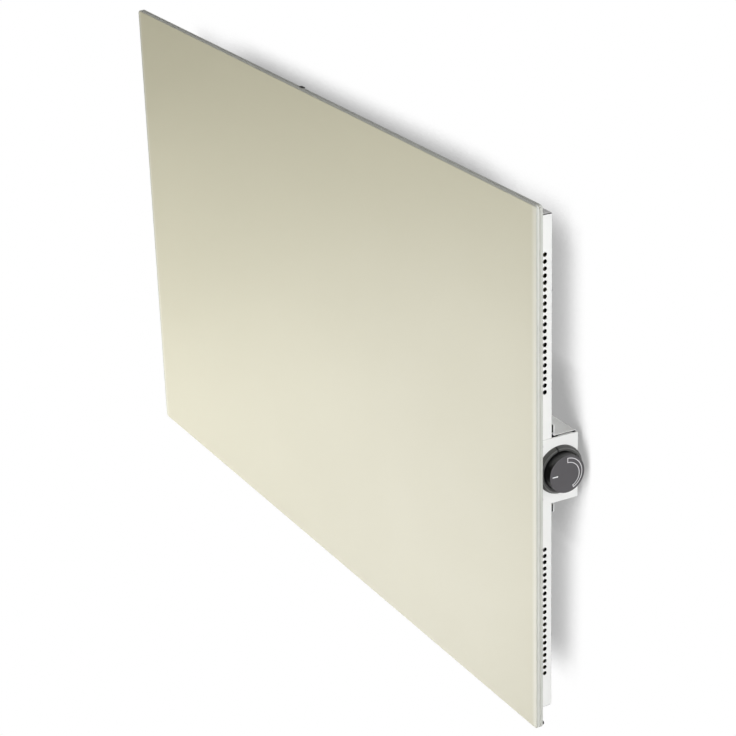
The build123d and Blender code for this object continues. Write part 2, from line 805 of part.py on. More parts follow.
def capillary_route():
    return [(capillary_x, axis_y, -body_half_z), (capillary_x, axis_y, bulb_z + capillary_run),
            (capillary_x, bulb_y, bulb_z), (bulb_right, bulb_y, bulb_z)]


def bulb_clip(x):
    """A spring hoop on a foot that is screwed to the cover."""
    x0, x1 = x - bulb_clip_width / 2, x + bulb_clip_width / 2
    clip = rod_x(bulb_radius + bulb_lift, x0, x1, bulb_y, bulb_z)
    clip -= block(x0 - 1, x1 + 1, bulb_y + bulb_lift, bulb_y + 2 * bulb_radius, bulb_z - bulb_radius * 0.6,
                  bulb_z + 2 * bulb_radius)
    foot_end = bulb_z - bulb_radius - bulb_clip_foot
    clip += block(x0, x1, cover_back, cover_back + bulb_clip_strip, foot_end, bulb_z)
    clip -= rod_x(bulb_radius, x0 - 1, x1 + 1, bulb_y, bulb_z)
    return clip - rod_y(clear_hole, cover_back - 1, cover_back + 2, x, clip_screw_z)


def clip_screw(x):
    seat = cover_back + bulb_clip_strip
    return screw_y(x, clip_screw_z, seat, clip_screw_shank, bulb_clip_width / 2 - slot_half)


# ---------------------------------------------------------------- terminals, earth and cable entry
def poles():
    return (pole_pitch, 0, -pole_pitch)


def pole_screw_xs():
    return (block_left + pole_screw_in, block_right - pole_screw_in)


def make_terminal_block():
    body = block(block_left, block_right, block_front, crown_front, -block_width / 2, block_width / 2)
    for z in (-pole_pitch / 2, pole_pitch / 2):
        body -= block(block_left - 1, block_right + 1, block_front - 1, block_front + 3, z - 0.8, z + 0.8)
    for z in poles():
        body -= rod_x(pole_bore, block_left - 1, block_right + 1, pole_y, z)
        for x in pole_screw_xs():
            body -= rod_y(pole_screw_radius, block_front - 1, pole_y, x, z)
    return body - rod_y(screw_hole, block_front - 1, crown_front + 1, block_screw_x, block_screw_z)


def terminal_screw(x, z):
    top = block_front + 1
    screw = rod_y(pole_screw_radius, top, pole_y - wire_radius, x, z)
    return screw - block(x - 3, x + 3, top - 1, top + 0.8, z - slot_half, z + slot_half)


def make_block_screw():
    radius = block_screw_edge - 0.4
    head = rod_y(radius, block_front - 1.8, block_front, block_screw_x, block_screw_z)
    x0, x1 = block_screw_x - radius - 1, block_screw_x + radius + 1
    z0, z1 = block_screw_z - slot_half, block_screw_z + slot_half
    head -= block(x0, x1, block_front - 3, block_front - 1, z0, z1)
    return head + rod_y(screw_radius, block_front, crown_back + 2, block_screw_x, block_screw_z)


def make_earth_stud():
    """A threaded stud whose head lies on the outside of the crown."""
    head = rod_y(1.8 * stud_radius, crown_back, crown_back + stud_head, earth_x, earth_z)
    return head + rod_y(stud_radius, crown_front - stud_length, crown_back, earth_x, earth_z)


def make_earth_nuts():
    lug_front = earth_lug_y - lug_thick / 2
    places = [(crown_front - earth_nut_height, crown_front), (lug_front - earth_nut_height, lug_front)]
    return together([nut_y(stud_radius, y0, y1, earth_x, earth_z) for y0, y1 in places])


def make_earth_lug():
    y0, y1 = earth_lug_y - lug_thick / 2, earth_lug_y + lug_thick / 2
    start = earth_x - barrel_start
    lug = rod_y(lug_radius, y0, y1, earth_x, earth_z)
    lug += rod_x(wire_radius + barrel_wall, start - barrel_length, start, earth_lug_y, earth_z)
    lug += block(start - 1, earth_x - stud_radius - 0.5, y0, y1, earth_z - wire_radius, earth_z + wire_radius)
    return lug - rod_y(stud_radius, y0 - 1, y1 + 1, earth_x, earth_z)


def make_wire_grommet():
    y0, y1 = cover_front - grommet_overhang, cover_back + grommet_overhang
    ring = rod_y(grommet_lip, y0, y1, grommet_x, 0)
    ring = fillet(ring.edges().filter_by(GeomType.CIRCLE), 0.5)
    groove = rod_y(grommet_lip + 1, cover_front, cover_back, grommet_x, 0)
    groove -= rod_y(grommet_hole, cover_front - 1, cover_back + 1, grommet_x, 0)
    return ring - groove - rod_y(grommet_bore, y0 - 1, y1 + 1, grommet_x, 0)


def make_cable_gland():
    """A hexagon outside the cap, a thread through it, and a nose for the dome nut."""
    hexagon_end = cap_plane - gland_hex_length
    gland = hexagon_x(gland_half_across, hexagon_end, cap_plane, box_mid_y, 0)
    gland += rod_x(gland_radius, cap_plane, cap_plane + sheet + gland_thread, box_mid_y, 0)
    gland += rod_x(gland_nose, hexagon_end - gland_nose_length, hexagon_end, box_mid_y, 0)
    x0, x1 = hexagon_end - gland_nose_length - 1, cap_plane + sheet + gland_thread + 1
    return gland - rod_x(gland_bore, x0, x1, box_mid_y, 0)


def make_gland_dome():
    x = cap_plane - gland_hex_length
    inside = x - gland_nose_length
    points = [(x, gland_nose), (x, gland_half_across), (inside - 1, gland_half_across),
              (x - dome_length, gland_bore + dome_lip), (x - dome_length, gland_bore + dome_clear),
              (inside, gland_bore + dome_clear), (inside, gland_nose)]
    dome = turned_x(points, box_mid_y, 0)
    for step in range(dome_grooves):
        groove = rod_x(dome_groove_radius, inside - 1, x + 1, gland_half_across + dome_groove_out, 0)
        dome -= Pos(0, box_mid_y, 0) * Rot(360 / dome_grooves * step, 0, 0) * groove
    return dome


def make_gland_locknut():
    x0, x1 = cap_plane + sheet, cap_plane + sheet + locknut_height
    nut = hexagon_x(gland_half_across + 0.5, x0, x1, box_mid_y, 0)
    return nut - rod_x(gland_radius, x0 - 1, x1 + 1, box_mid_y, 0)


# ---------------------------------------------------------------- inner wires
def wire_routes():
    """Each inner wire as its points, from one terminal to the other."""
    inside_pole = block_right - wire_in_pole
    live_z, switched_z = body_blades[1], body_blades[0]
    low_blade, high_blade = cutout_z - cutout_reach, cutout_z + cutout_reach
    barrel_z = post_z + barrel_start + barrel_length
    loop_z = barrel_z + wire_loop
    barrel_x = earth_x - barrel_start - barrel_length
    turn_x = block_right + wire_turn
    return {
        "live_in_wire": [(inside_pole, pole_y, pole_pitch), (block_right + wire_rise, pole_y, pole_pitch),
                         (blade_tip - wire_blade_run, axis_y, live_z), (blade_tip, axis_y, live_z)],
        "live_out_wire": [(blade_tip, axis_y, switched_z), (grommet_x, axis_y, switched_z),
                          (grommet_x, wire_y, switched_z), (grommet_x, wire_y, low_blade)],
        "neutral_wire": [(inside_pole, pole_y, 0), (grommet_x, pole_y, 0), (grommet_x, wire_y, -wire_cross),
                         (grommet_x, wire_y, -low_blade)],
        "earth_wire": [(inside_pole, pole_y, -pole_pitch), (turn_x, pole_y, -pole_pitch),
                       (turn_x, earth_lug_y, earth_z), (barrel_x, earth_lug_y, earth_z)],
        "upper_link_wire": [(grommet_x, wire_y, high_blade), (grommet_x, wire_y, loop_z),
                            (tail_x, wire_y, loop_z), (tail_x, wire_y, barrel_z)],
        "lower_link_wire": [(grommet_x, wire_y, -high_blade), (grommet_x, wire_y, -loop_z),
                            (tail_x, wire_y, -loop_z), (tail_x, wire_y, -barrel_z)],
    }


# ---------------------------------------------------------------- edge pieces
def make_top_edge_clip():
    """A small spring clip over the top edge of the rear pane, hooked behind the case flange."""
    x0, x1 = edge_clip_x - edge_clip_half, edge_clip_x + edge_clip_half
    leaf = edge_clip_leaf
    top = panel_height / 2
    foot = case_z + 0.5
    back = rear_pane_back + leaf
    clip = block(x0, x1, rear_pane_back - edge_clip_lap, back, top, top + leaf)
    clip += block(x0, x1, rear_pane_back, back, foot, top + leaf)
    return clip + block(x0, x1, rear_pane_back, case_front + 2 * sheet, foot, foot + leaf)


def corner_bumper(side):
    """A stick-on dot behind one of the lower corners."""
    x, z = side * (panel_width / 2 - bumper_in), bumper_in - panel_height / 2
    pad = rod_y(bumper_radius, rear_pane_back, rear_pane_back + bumper_height, x, z)
    return rounded_end(pad, Axis.Y, True, 0.5)


# ---------------------------------------------------------------- wall hardware
def make_hanging_rail():
    """A folded rail on the case back: a flange screwed to the case, a web that rests on the wall rail's lip, and
    a lip that drops behind it."""
    points = [(cover_back, screw_z + hanger_screw_edge), (cover_back, lip_top), (hanger_front, lip_top),
              (hanger_front, lip_top - hook_height + hook_lift)]
    half = hanger_width / 2
    rail = folded(points, rail_sheet, [rail_bend + rail_sheet, rail_bend], Side.LEFT, -half, half)
    for x, z in hanger_screw_places():
        rail -= rod_y(clear_hole, cover_back - 1, cover_back + rail_sheet + 1, x, z)
    return rail


def wall_holes(rail, z):
    for x in (-wall_hole_x, wall_hole_x):
        rail -= rod_y(wall_hole_radius, -rail_sheet - 1, 1, x, z)
    return rail


def make_wall_rail_upper():
    points = [(0, wall_low), (0, wall_high), (lip_back, wall_high), (lip_back, lip_top)]
    half = rail_width / 2
    rail = folded(points, rail_sheet, [rail_bend + rail_sheet, rail_bend], Side.LEFT, -half, half)
    return wall_holes(rail, wall_hole_z)


def make_wall_rail_lower():
    """The lower rail: it holds the case off the wall and carries the locking tab below the case."""
    front = pad_back
    points = [(0, -wall_low), (0, -wall_high), (front, -wall_high), (front, -wall_high + lower_lip)]
    bend = rail_bend + rail_sheet
    half = rail_width / 2
    rail = folded(points, rail_sheet, [bend, bend], Side.RIGHT, -half, half)
    half = tab_width / 2
    under = tab_top - rail_sheet
    rail += block(-half, half, front, front + rail_sheet, under, -wall_high + lower_lip / 2)
    rail += block(-half, half, vent_y - tab_end, front + rail_sheet, under, tab_top)
    rail -= rod_z(clear_hole, under - 1, tab_top + 1, 0, vent_y)
    return wall_holes(rail, -wall_hole_z)


def make_lock_screw():
    seat = tab_top - rail_sheet
    head = rod_z(head_radius, seat - head_height, seat, 0, vent_y)
    head = rounded_end(head, Axis.Z, False, 0.8)
    head -= block(-4, 4, vent_y - slot_half, vent_y + slot_half, seat - head_height - 1, seat - head_height + 1)
    return head + rod_z(screw_radius, seat, -case_z + 3 * sheet, 0, vent_y)


# ---------------------------------------------------------------- one file for each node
def all_nodes():
    signs = (1, -1)
    screw_zs = (-screw_pitch / 2, screw_pitch / 2)
    nodes = {
        "glass_front": pane(glass_face, True),
        "bond_layer": make_bond_layer(),
        "heating_film": make_heating_film(),
        "busbars": together([busbar(side) for side in signs]),
        "rear_pane": make_rear_pane(),
        "contact_posts": together([contact_post(side * post_z) for side in signs]),
        "ring_lugs": together([ring_lug(side) for side in signs]),
        "contact_nuts": make_contact_nuts(),
        "silicone_bead": make_silicone_bead(),
        "case_frame": make_case_frame(),
        "rear_cover": make_rear_cover(),
        "cover_screws": together([screw_y(x, z, cover_back, cover_screw_shank)
                                  for x, z in cover_screw_places()]),
        "reflector_board": make_reflector_board(),
        "insulation_mat": make_insulation_mat(),
        "overheat_cutouts": together([overheat_cutout(side * cutout_z) for side in signs]),
        "top_edge_clip": make_top_edge_clip(),
        "corner_bumpers": together([corner_bumper(side) for side in signs]),
        "box_gasket": make_box_gasket(),
        "control_box": make_control_box(),
        "box_screws": together([screw_y(x, z, flange_back, box_screw_shank)
                                for x, z in box_screw_places()]),
        "box_end_cap": make_box_end_cap(),
        "cap_screws": together([cap_screw(sign) for sign in signs]),
        "control_plate": make_control_plate(),
        "plate_screws": together([plate_screw(y, z) for y, z in plate_screw_places()]),
        "thermostat_body": make_thermostat_body(),
        "thermostat_blades": together([body_blade(z) for z in body_blades]),
        "thermostat_bush": make_thermostat_bush(),
        "thermostat_screws": together([thermostat_screw(z) for z in screw_zs]),
        "dial_collar": make_dial_collar(),
        "thermostat_shaft": make_thermostat_shaft(),
        "control_knob": make_control_knob(),
        "dial_marks": together(mark_solids(mark_proud)),
        "knob_clip": make_knob_clip(),
        "sensor_bulb": make_sensor_bulb(),
        "capillary_tube": tube("capillary_tube", capillary_route(), capillary_radius),
        "bulb_clips": together([bulb_clip(x) for x in bulb_clip_places()]),
        "clip_screws": together([clip_screw(x) for x in bulb_clip_places()]),
        "terminal_block": make_terminal_block(),
        "terminal_screws": together([terminal_screw(x, z) for x in pole_screw_xs() for z in poles()]),
        "block_screw": make_block_screw(),
        "earth_stud": make_earth_stud(),
        "earth_nuts": make_earth_nuts(),
        "earth_lug": make_earth_lug(),
        "wire_grommet": make_wire_grommet(),
        "cable_gland": make_cable_gland(),
        "gland_dome": make_gland_dome(),
        "gland_locknut": make_gland_locknut(),
        "hanging_rail": make_hanging_rail(),
        "hanging_rail_screws": together([screw_y(x, z, cover_back + rail_sheet, hanger_screw_shank)
                                         for x, z in hanger_screw_places()]),
        "wall_rail_upper": make_wall_rail_upper(),
        "wall_rail_lower": make_wall_rail_lower(),
        "lock_screw": make_lock_screw(),
        "rail_pads": together([rod_y(pad_radius, cover_back, pad_back, x, pad_z)
                               for x in (-wall_hole_x, wall_hole_x)]),
    }
    for name, points in wire_routes().items():
        nodes[name] = tube(name, points, wire_radius)
    return nodes


os.makedirs("parts", exist_ok=True)
for node, shape in all_nodes().items():
    export_step(shape, f"parts/{node}.step")
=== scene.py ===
"""Infrared panel heater on a wall: the looks of its glass, steel, knob, seals and rails, and its studio.

The file is laid out as an add-on and is run as a script. Lengths are in metres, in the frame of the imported
model: the wall's surface is y = 0, the room lies towards negative y, x runs to the right along the panel, and
z is up.
"""

import math

import bpy
from bpy.props import FloatProperty, FloatVectorProperty, PointerProperty
from mathutils import Matrix, Vector


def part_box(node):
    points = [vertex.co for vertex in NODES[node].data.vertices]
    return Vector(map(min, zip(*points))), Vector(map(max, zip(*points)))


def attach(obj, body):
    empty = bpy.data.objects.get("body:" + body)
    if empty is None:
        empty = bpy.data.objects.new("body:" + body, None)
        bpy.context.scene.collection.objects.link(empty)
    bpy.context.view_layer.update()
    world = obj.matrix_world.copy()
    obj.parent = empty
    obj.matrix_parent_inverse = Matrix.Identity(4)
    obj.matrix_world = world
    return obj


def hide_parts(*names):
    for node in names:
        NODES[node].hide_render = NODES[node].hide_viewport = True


bl_info = {
    "name": "Infrared panel heater",
    "version": (1, 0, 0),
    "blender": (4, 5, 0),
    "location": "View3D > Sidebar > Heater",
    "description": "Dresses a glass wall heater and builds the studio round it",
    "category": "Object",
}

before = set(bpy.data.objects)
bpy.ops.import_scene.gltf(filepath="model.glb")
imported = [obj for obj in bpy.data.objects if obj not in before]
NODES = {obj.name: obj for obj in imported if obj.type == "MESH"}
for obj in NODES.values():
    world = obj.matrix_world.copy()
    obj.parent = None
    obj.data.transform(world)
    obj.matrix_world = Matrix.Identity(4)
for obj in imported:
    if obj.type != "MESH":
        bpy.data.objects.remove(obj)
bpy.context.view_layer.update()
MM = 0.001

# Corners of the nodes that the looks are placed by, and the thickness of the sheet steel
GLASS_LOW, GLASS_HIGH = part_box("glass_front")
_, KNOB_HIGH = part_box("control_knob")
COLLAR_LOW, COLLAR_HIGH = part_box("dial_collar")
_, PLATE_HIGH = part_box("control_plate")
SHEET = 1.0 * MM


# ---------------------------------------------------------------- sizes and colours a user may change
def colour(name, description, default):
    """A colour setting."""
    return FloatVectorProperty(name=name, description=description, subtype="COLOR", size=3, min=0.0, max=1.0,
                               default=default)


def share(name, description, default):
    """A setting from 0 to 1."""
    return FloatProperty(name=name, description=description, subtype="FACTOR", min=0.0, max=1.0,
                         default=default)


def length(name, description, default):
    """A length in metres."""
    return FloatProperty(name=name, description=description, unit="LENGTH", min=0.0, default=default)


def angle(name, description, degrees):
    """An angle, with its default in degrees."""
    return FloatProperty(name=name, description=description, subtype="ANGLE", default=math.radians(degrees))


def power(name, description, default):
    """A lamp's power in watts."""
    return FloatProperty(name=name, description=description, unit="POWER", default=default)


class GlassLook(bpy.types.PropertyGroup):
    """The laminated glass panel."""

    lacquer: colour("Lacquer", "Cream lacquer seen through the front pane", (0.56, 0.535, 0.40))
    # Painted highlight: a paler strip along the front face's left and right edges
    border_highlight: colour("Border", "Paler strip along the front face's left and right edges", (0.65, 0.64, 0.545))
    border_width: length("Border width", "Width of the paler border", 6.5 * MM)
    edge: colour("Edge", "Polished edge of the front pane", (0.58, 0.59, 0.55))
    rear_edge: colour("Rear edge", "Polished edge of the rear pane", (0.58, 0.59, 0.55))
    # Painted highlight on the rear half of the front pane's edge
    edge_core_highlight: colour("Edge core", "Inner half of the front pane's edge", (0.72, 0.73, 0.69))
    arris: colour("Arris", "Ground arris along a pane's edge", (0.56, 0.56, 0.51))
    arris_width: length("Arris width", "Width of the ground arris on the face", 0.9 * MM)
    # Painted refraction: a darker band along the face's left and lower sides, where the ground edge shows
    # through the glass from the right and above
    refraction_rim: colour("Rim", "Ground edge seen through the pane along its left and lower sides",
                (0.42, 0.43, 0.375))
    rim_width: length("Rim width", "Width of that rim on the left; it is a third of this below", 3.2 * MM)
    back: colour("Back", "Coating on the back of the rear pane", (0.50, 0.49, 0.43))
    roughness: share("Roughness", "Roughness of the satin front face", 0.328)


class SteelLook(bpy.types.PropertyGroup):
    """The case, its cover, the control box and the rails."""

    paint: colour("Paint", "White powder coat", (0.88, 0.885, 0.875))
    dust: colour("Dust", "House dust on upward faces", (0.45, 0.43, 0.40))
    grain: length("Grain", "Depth of the powder coat's grain", 0.05 * MM)
    # Painted shade: near-black on the inner faces of the case and the control box
    painted_inner_shade: colour("Primer", "Dark primer inside the case and the control box", (0.02, 0.02, 0.021))
    zinc: colour("Zinc", "Bright zinc on screws and rails", (0.62, 0.63, 0.65))
    spangle: length("Spangle", "Size of the zinc crystals on the rails", 7.0 * MM)


class KnobLook(bpy.types.PropertyGroup):
    """The thermostat knob, its collar and the print on it."""

    cap: colour("Cap", "Satin face of the knob", (0.092, 0.088, 0.094))
    cap_edge: length("Cap edge", "Depth of the satin face's edge", 0.35 * MM)
    grip: colour("Grip", "Side of the knob", (0.006, 0.006, 0.006))
    collar: colour("Collar", "Collar round the knob", (0.078, 0.079, 0.076))
    print_ink: colour("Print", "Printed marks", (0.80, 0.80, 0.81))
    notch_turn: angle("Notch", "Turn of the collar's notch from the top", 11.0)


class InsideLook(bpy.types.PropertyGroup):
    """Seals, insulation and wires."""

    sealant: colour("Sealant", "Silicone bead behind the glass", (0.075, 0.075, 0.078))
    rubber: colour("Rubber", "Pads, bumpers and grommet", (0.022, 0.022, 0.022))
    fibre: colour("Fibre", "Mineral fibre mat", (0.46, 0.40, 0.24))
    live: colour("Live wire", "Brown silicone insulation", (0.075, 0.028, 0.012))
    neutral: colour("Neutral wire", "Blue silicone insulation", (0.015, 0.06, 0.30))
    earth: colour("Earth wire", "Green silicone insulation", (0.03, 0.22, 0.03))
    earth_stripe: colour("Earth stripe", "Yellow stripe on the earth wire", (0.72, 0.55, 0.02))
    link: colour("Link wire", "White silicone insulation", (0.75, 0.74, 0.68))


class StudioLook(bpy.types.PropertyGroup):
    """The wall, the floor, the lights and the camera."""

    wall: colour("Wall", "Plain pale wall", (0.40, 0.40, 0.40))
    floor: colour("Floor", "Plain pale floor", (0.72, 0.72, 0.71))
    contact: share("Contact shade", "Brightness of the wall right beside the heater", 0.38)
    contact_reach: length("Contact reach", "How far the shade on the wall reaches", 0.070)
    floor_drop: FloatProperty(name="Floor", description="Height of the floor", unit="LENGTH", default=-1.7)
    sky: FloatProperty(name="Sky", description="Strength of the light from all round", min=0.0,
                       default=0.034)
    key: power("Key light", "Large soft light before the panel", 60.0)
    side: power("Side light", "Soft light on the control side", 58.0)
    low: power("Low light", "Soft light low down that the glass mirrors", 10.5)
    far: power("Far light", "Broad light further off that the glass mirrors", 10.1)
    near: power("Near light", "Soft light that the panel's control side mirrors", 9.6)
    rear: power("Rear light", "Soft light behind the wall", 50.0)
    lens: FloatProperty(name="Lens", description="Focal length of the camera", unit="CAMERA", default=108.868)
    azimuth: angle("Azimuth", "Camera's turn to the right of the panel's axis", 62.219)
    elevation: angle("Elevation", "Camera's height above the horizon", 22.656)
    roll: angle("Roll", "Camera's roll", -1.866)
    place: FloatVectorProperty(name="Camera", description="Where the camera stands", subtype="TRANSLATION",
                               size=3, default=(2.264021, -1.189572, 1.003401))


# ---------------------------------------------------------------- shader nodes
def supply(tree, socket, source):
    """Gives an input another node's output, or a value."""
    if isinstance(source, bpy.types.NodeSocket):
        tree.links.new(source, socket)
    else:
        socket.default_value = source


def add(tree, kind, links=(), **settings):
    """Adds a node. Settings are its properties, and a link is (input, another node's output or a value)."""
    node = tree.nodes.new("ShaderNode" + kind)
    for key, value in settings.items():
        setattr(node, key, value)
    for name, source in links:
        supply(tree, node.inputs[name], source)
    return node


def calculate(tree, operation, *values):
    """A Math node's result."""
    return add(tree, "Math", list(enumerate(values)), operation=operation).outputs[0]


def product(tree, result, *factors):
    """Some values multiplied with each other."""
    for factor in factors:
        result = calculate(tree, "MULTIPLY", result, factor)
    return result


def remap(tree, value, given, wanted=(0.0, 1.0)):
    """A value carried from one range to another, held within it."""
    links = [("Value", value), ("From Min", given[0]), ("From Max", given[1]), ("To Min", wanted[0]),
             ("To Max", wanted[1])]
    return add(tree, "MapRange", links).outputs["Result"]


def object_point(tree):
    """The point's place in the object's own frame."""
    return add(tree, "TexCoord").outputs["Object"]


def axes(tree, vector):
    """The X, Y and Z of a vector."""
    return add(tree, "SeparateXYZ", [(0, vector)]).outputs


def noise(tree, point, scale, detail=2.0, roughness=0.5):
    """Soft noise from 0 to 1."""
    links = [("Vector", point), ("Scale", scale), ("Detail", detail), ("Roughness", roughness)]
    return add(tree, "TexNoise", links).outputs["Fac"]


def bend(tree, point, scale, reach):
    """A point pushed about by soft noise, by up to the reach along each axis."""
    push = add(tree, "TexNoise", [("Vector", point), ("Scale", scale)]).outputs["Color"]
    links = [(0, push), (1, (reach, reach, reach)), (2, point)]
    return add(tree, "VectorMath", links, operation="MULTIPLY_ADD").outputs["Vector"]


def dim(tree, tint, factor):
    """A colour times a factor."""
    return add(tree, "VectorMath", [(0, tint), ("Scale", factor)], operation="SCALE").outputs["Vector"]


# ---------------------------------------------------------------- shared node groups
def new_group(name, inputs, outputs):
    """An empty shader node group with its input and output sockets. An input is (kind, name, default)."""
    tree = bpy.data.node_groups.new(name, "ShaderNodeTree")
    for kind, label, default in inputs:
        socket = tree.interface.new_socket(label, in_out="INPUT", socket_type="NodeSocket" + kind)
        socket.default_value = default
    for kind, label in outputs:
        tree.interface.new_socket(label, in_out="OUTPUT", socket_type="NodeSocket" + kind)
    return tree, tree.nodes.new("NodeGroupInput").outputs, tree.nodes.new("NodeGroupOutput").inputs


def put_out(tree, out, **results):
    """Links a group's results to its output sockets, by name."""
    for label, result in results.items():
        tree.links.new(result, out[label])


def make_mottle():
    """A colour that varies softly over the surface."""
    inputs = [("Color", "Colour", (0.8, 0.8, 0.8, 1.0)), ("Float", "Scale", 10.0), ("Float", "Depth", 0.05)]
    tree, given, out = new_group("soft_mottle", inputs, [("Color", "Colour")])
    noise_middle, noise_gain = 0.5, 4.0
    broad = noise(tree, object_point(tree), given["Scale"], detail=3.0)
    centred = calculate(tree, "SUBTRACT", broad, noise_middle)
    factor = calculate(tree, "MULTIPLY_ADD", centred, product(tree, given["Depth"], noise_gain), 1.0)
    put_out(tree, out, Colour=dim(tree, given["Colour"], factor))
    return tree


def make_grain():
    """Height of a fine grain, such as a powder coat's orange peel or a moulded texture."""
    tree, given, out = new_group("fine_grain", [("Float", "Scale", 700.0), ("Float", "Fineness", 3.0)],
                                 [("Float", "Height")])
    fine_share = 0.35
    point = object_point(tree)
    broad = noise(tree, point, given["Scale"], detail=2.0)
    fine = noise(tree, point, product(tree, given["Scale"], given["Fineness"]), detail=1.0)
    put_out(tree, out, Height=calculate(tree, "MULTIPLY_ADD", fine, fine_share, broad))
    return tree


def make_smudges():
    """Roughness that varies in large soft patches, with small specks."""
    inputs = [("Float", "Low", 0.3), ("Float", "High", 0.5), ("Float", "Scale", 12.0)]
    tree, given, out = new_group("smudges", inputs, [("Float", "Roughness")])
    speck_share, speck_fineness, noise_range = 0.25, 22.0, (0.35, 0.65)
    point = object_point(tree)
    patches = noise(tree, point, given["Scale"], detail=4.0, roughness=0.6)
    specks = noise(tree, point, product(tree, given["Scale"], speck_fineness), detail=2.0, roughness=0.7)
    mixed = calculate(tree, "MULTIPLY_ADD", specks, speck_share, product(tree, patches, 1.0 - speck_share))
    put_out(tree, out, Roughness=remap(tree, mixed, noise_range, (given["Low"], given["High"])))
    return tree


def make_dust():
    """A mask of dust that lies on upward faces and thins out in patches."""
    tree, given, out = new_group("settled_dust", [("Float", "Amount", 0.3), ("Float", "Scale", 60.0)],
                                 [("Float", "Mask")])
    slopes, noise_range, thinnest = (0.35, 0.95), (0.35, 0.7), 0.25
    upward = remap(tree, axes(tree, add(tree, "NewGeometry").outputs["Normal"])["Z"], slopes)
    clouds = noise(tree, object_point(tree), given["Scale"], detail=5.0, roughness=0.65)
    patches = remap(tree, clouds, noise_range, (thinnest, 1.0))
    put_out(tree, out, Mask=product(tree, upward, patches, given["Amount"]))
    return tree


def make_edge_wear():
    """A mask along sharp edges, broken up by noise."""
    tree, given, out = new_group("edge_wear", [("Float", "Radius", 0.6 * MM), ("Float", "Amount", 0.5)],
                                 [("Float", "Mask")])
    sharpness, noise_range, patch_scale = (0.97, 0.80), (0.42, 0.62), 130.0
    flat = add(tree, "NewGeometry").outputs["Normal"]
    rounded = add(tree, "Bevel", [("Radius", given["Radius"])], samples=4).outputs["Normal"]
    along = add(tree, "VectorMath", [(0, flat), (1, rounded)], operation="DOT_PRODUCT").outputs["Value"]
    broken = remap(tree, noise(tree, object_point(tree), patch_scale, detail=4.0, roughness=0.7), noise_range)
    put_out(tree, out, Mask=product(tree, remap(tree, along, sharpness), broken, given["Amount"]))
    return tree


def make_brushing():
    """Fine lines along one axis: how high they stand and how they vary the shine."""
    inputs = [("Vector", "Stretch", (4.0, 600.0, 600.0)), ("Float", "Low", 0.25), ("Float", "High", 0.45)]
    tree, given, out = new_group("brushing", inputs, [("Float", "Height"), ("Float", "Roughness")])
    noise_range = (0.3, 0.7)
    links = [(0, object_point(tree)), (1, given["Stretch"])]
    stretched = add(tree, "VectorMath", links, operation="MULTIPLY").outputs["Vector"]
    lines = noise(tree, stretched, 1.0, detail=3.0, roughness=0.6)
    put_out(tree, out, Height=lines, Roughness=remap(tree, lines, noise_range, (given["Low"], given["High"])))
    return tree


def make_spangle():
    """The crystal pattern of hot-dip zinc: a colour, a roughness and a height for each crystal."""
    inputs = [("Color", "Colour", (0.6, 0.6, 0.6, 1.0)), ("Float", "Size", 0.009)]
    outputs = [("Color", "Colour"), ("Float", "Roughness"), ("Float", "Height")]
    tree, given, out = new_group("zinc_spangle", inputs, outputs)
    whole, tones, roughnesses, ragged, ragged_scale = (0.0, 1.0), (0.86, 1.09), (0.34, 0.52), 4.0 * MM, 160.0
    place = bend(tree, object_point(tree), ragged_scale, ragged)
    scale = calculate(tree, "DIVIDE", 1.0, given["Size"])
    crystals = add(tree, "TexVoronoi", [("Vector", place), ("Scale", scale)]).outputs["Color"]
    grey = add(tree, "SeparateColor", [(0, crystals)]).outputs[0]
    put_out(tree, out, Colour=dim(tree, given["Colour"], remap(tree, grey, whole, tones)),
            Roughness=remap(tree, grey, whole, roughnesses), Height=grey)
    return tree


def make_pane_zones():
    """Masks of a pane's zones: its narrow edge and that edge's core, its arris, its border and its rim."""
    sizes = [("Float", label, 1.0 * MM) for label in ("Arris", "Border", "Rim")]
    masks = [("Float", label) for label in ("Edge", "Arris", "Border", "Rim", "Core")]
    tree, given, out = new_group("pane_zones", sizes, masks)
    half_x, half_z = GLASS_HIGH.x, GLASS_HIGH.z
    tilt, rim_taper, core_blur, back_blur = (0.35, 0.25), 3.0, 0.3 * MM, 0.2 * MM

    def strip(distance, label, fade):
        """A mask within a set width of an edge, which fades between two shares of that width."""
        return remap(tree, calculate(tree, "DIVIDE", distance, given[label]), fade)

    point = axes(tree, object_point(tree))
    from_side = calculate(tree, "SUBTRACT", half_x, calculate(tree, "ABSOLUTE", point["X"]))
    from_end = calculate(tree, "SUBTRACT", half_z, calculate(tree, "ABSOLUTE", point["Z"]))
    from_left = calculate(tree, "ADD", point["X"], half_x)
    from_below = calculate(tree, "MULTIPLY_ADD", point["Z"], rim_taper, rim_taper * half_z)
    facing = calculate(tree, "ABSOLUTE", axes(tree, add(tree, "NewGeometry").outputs["Normal"])["Y"])
    edge = remap(tree, facing, tilt)
    arris = strip(calculate(tree, "MINIMUM", from_side, from_end), "Arris", (1.0, 0.7))
    # Where the paler strip of painted highlight goes, on the left and right sides
    border_highlight = strip(from_side, "Border", (1.5, 0.6))
    # Where the darker band of painted refraction goes, wide on the left and a third as wide below
    refraction_rim = strip(calculate(tree, "MINIMUM", from_left, from_below), "Rim", (1.0, 0.8))
    # The edge's core is the rear half of the front pane's edge, where a painted highlight goes
    middle = (GLASS_LOW.y + GLASS_HIGH.y) / 2
    deep = remap(tree, point["Y"], (middle - core_blur, middle + core_blur))
    shallow = remap(tree, point["Y"], (GLASS_HIGH.y, GLASS_HIGH.y + back_blur), (1.0, 0.0))
    put_out(tree, out, Edge=edge, Arris=product(tree, arris, calculate(tree, "SUBTRACT", 1.0, edge)),
            Border=border_highlight, Rim=refraction_rim, Core=product(tree, deep, shallow))
    return tree


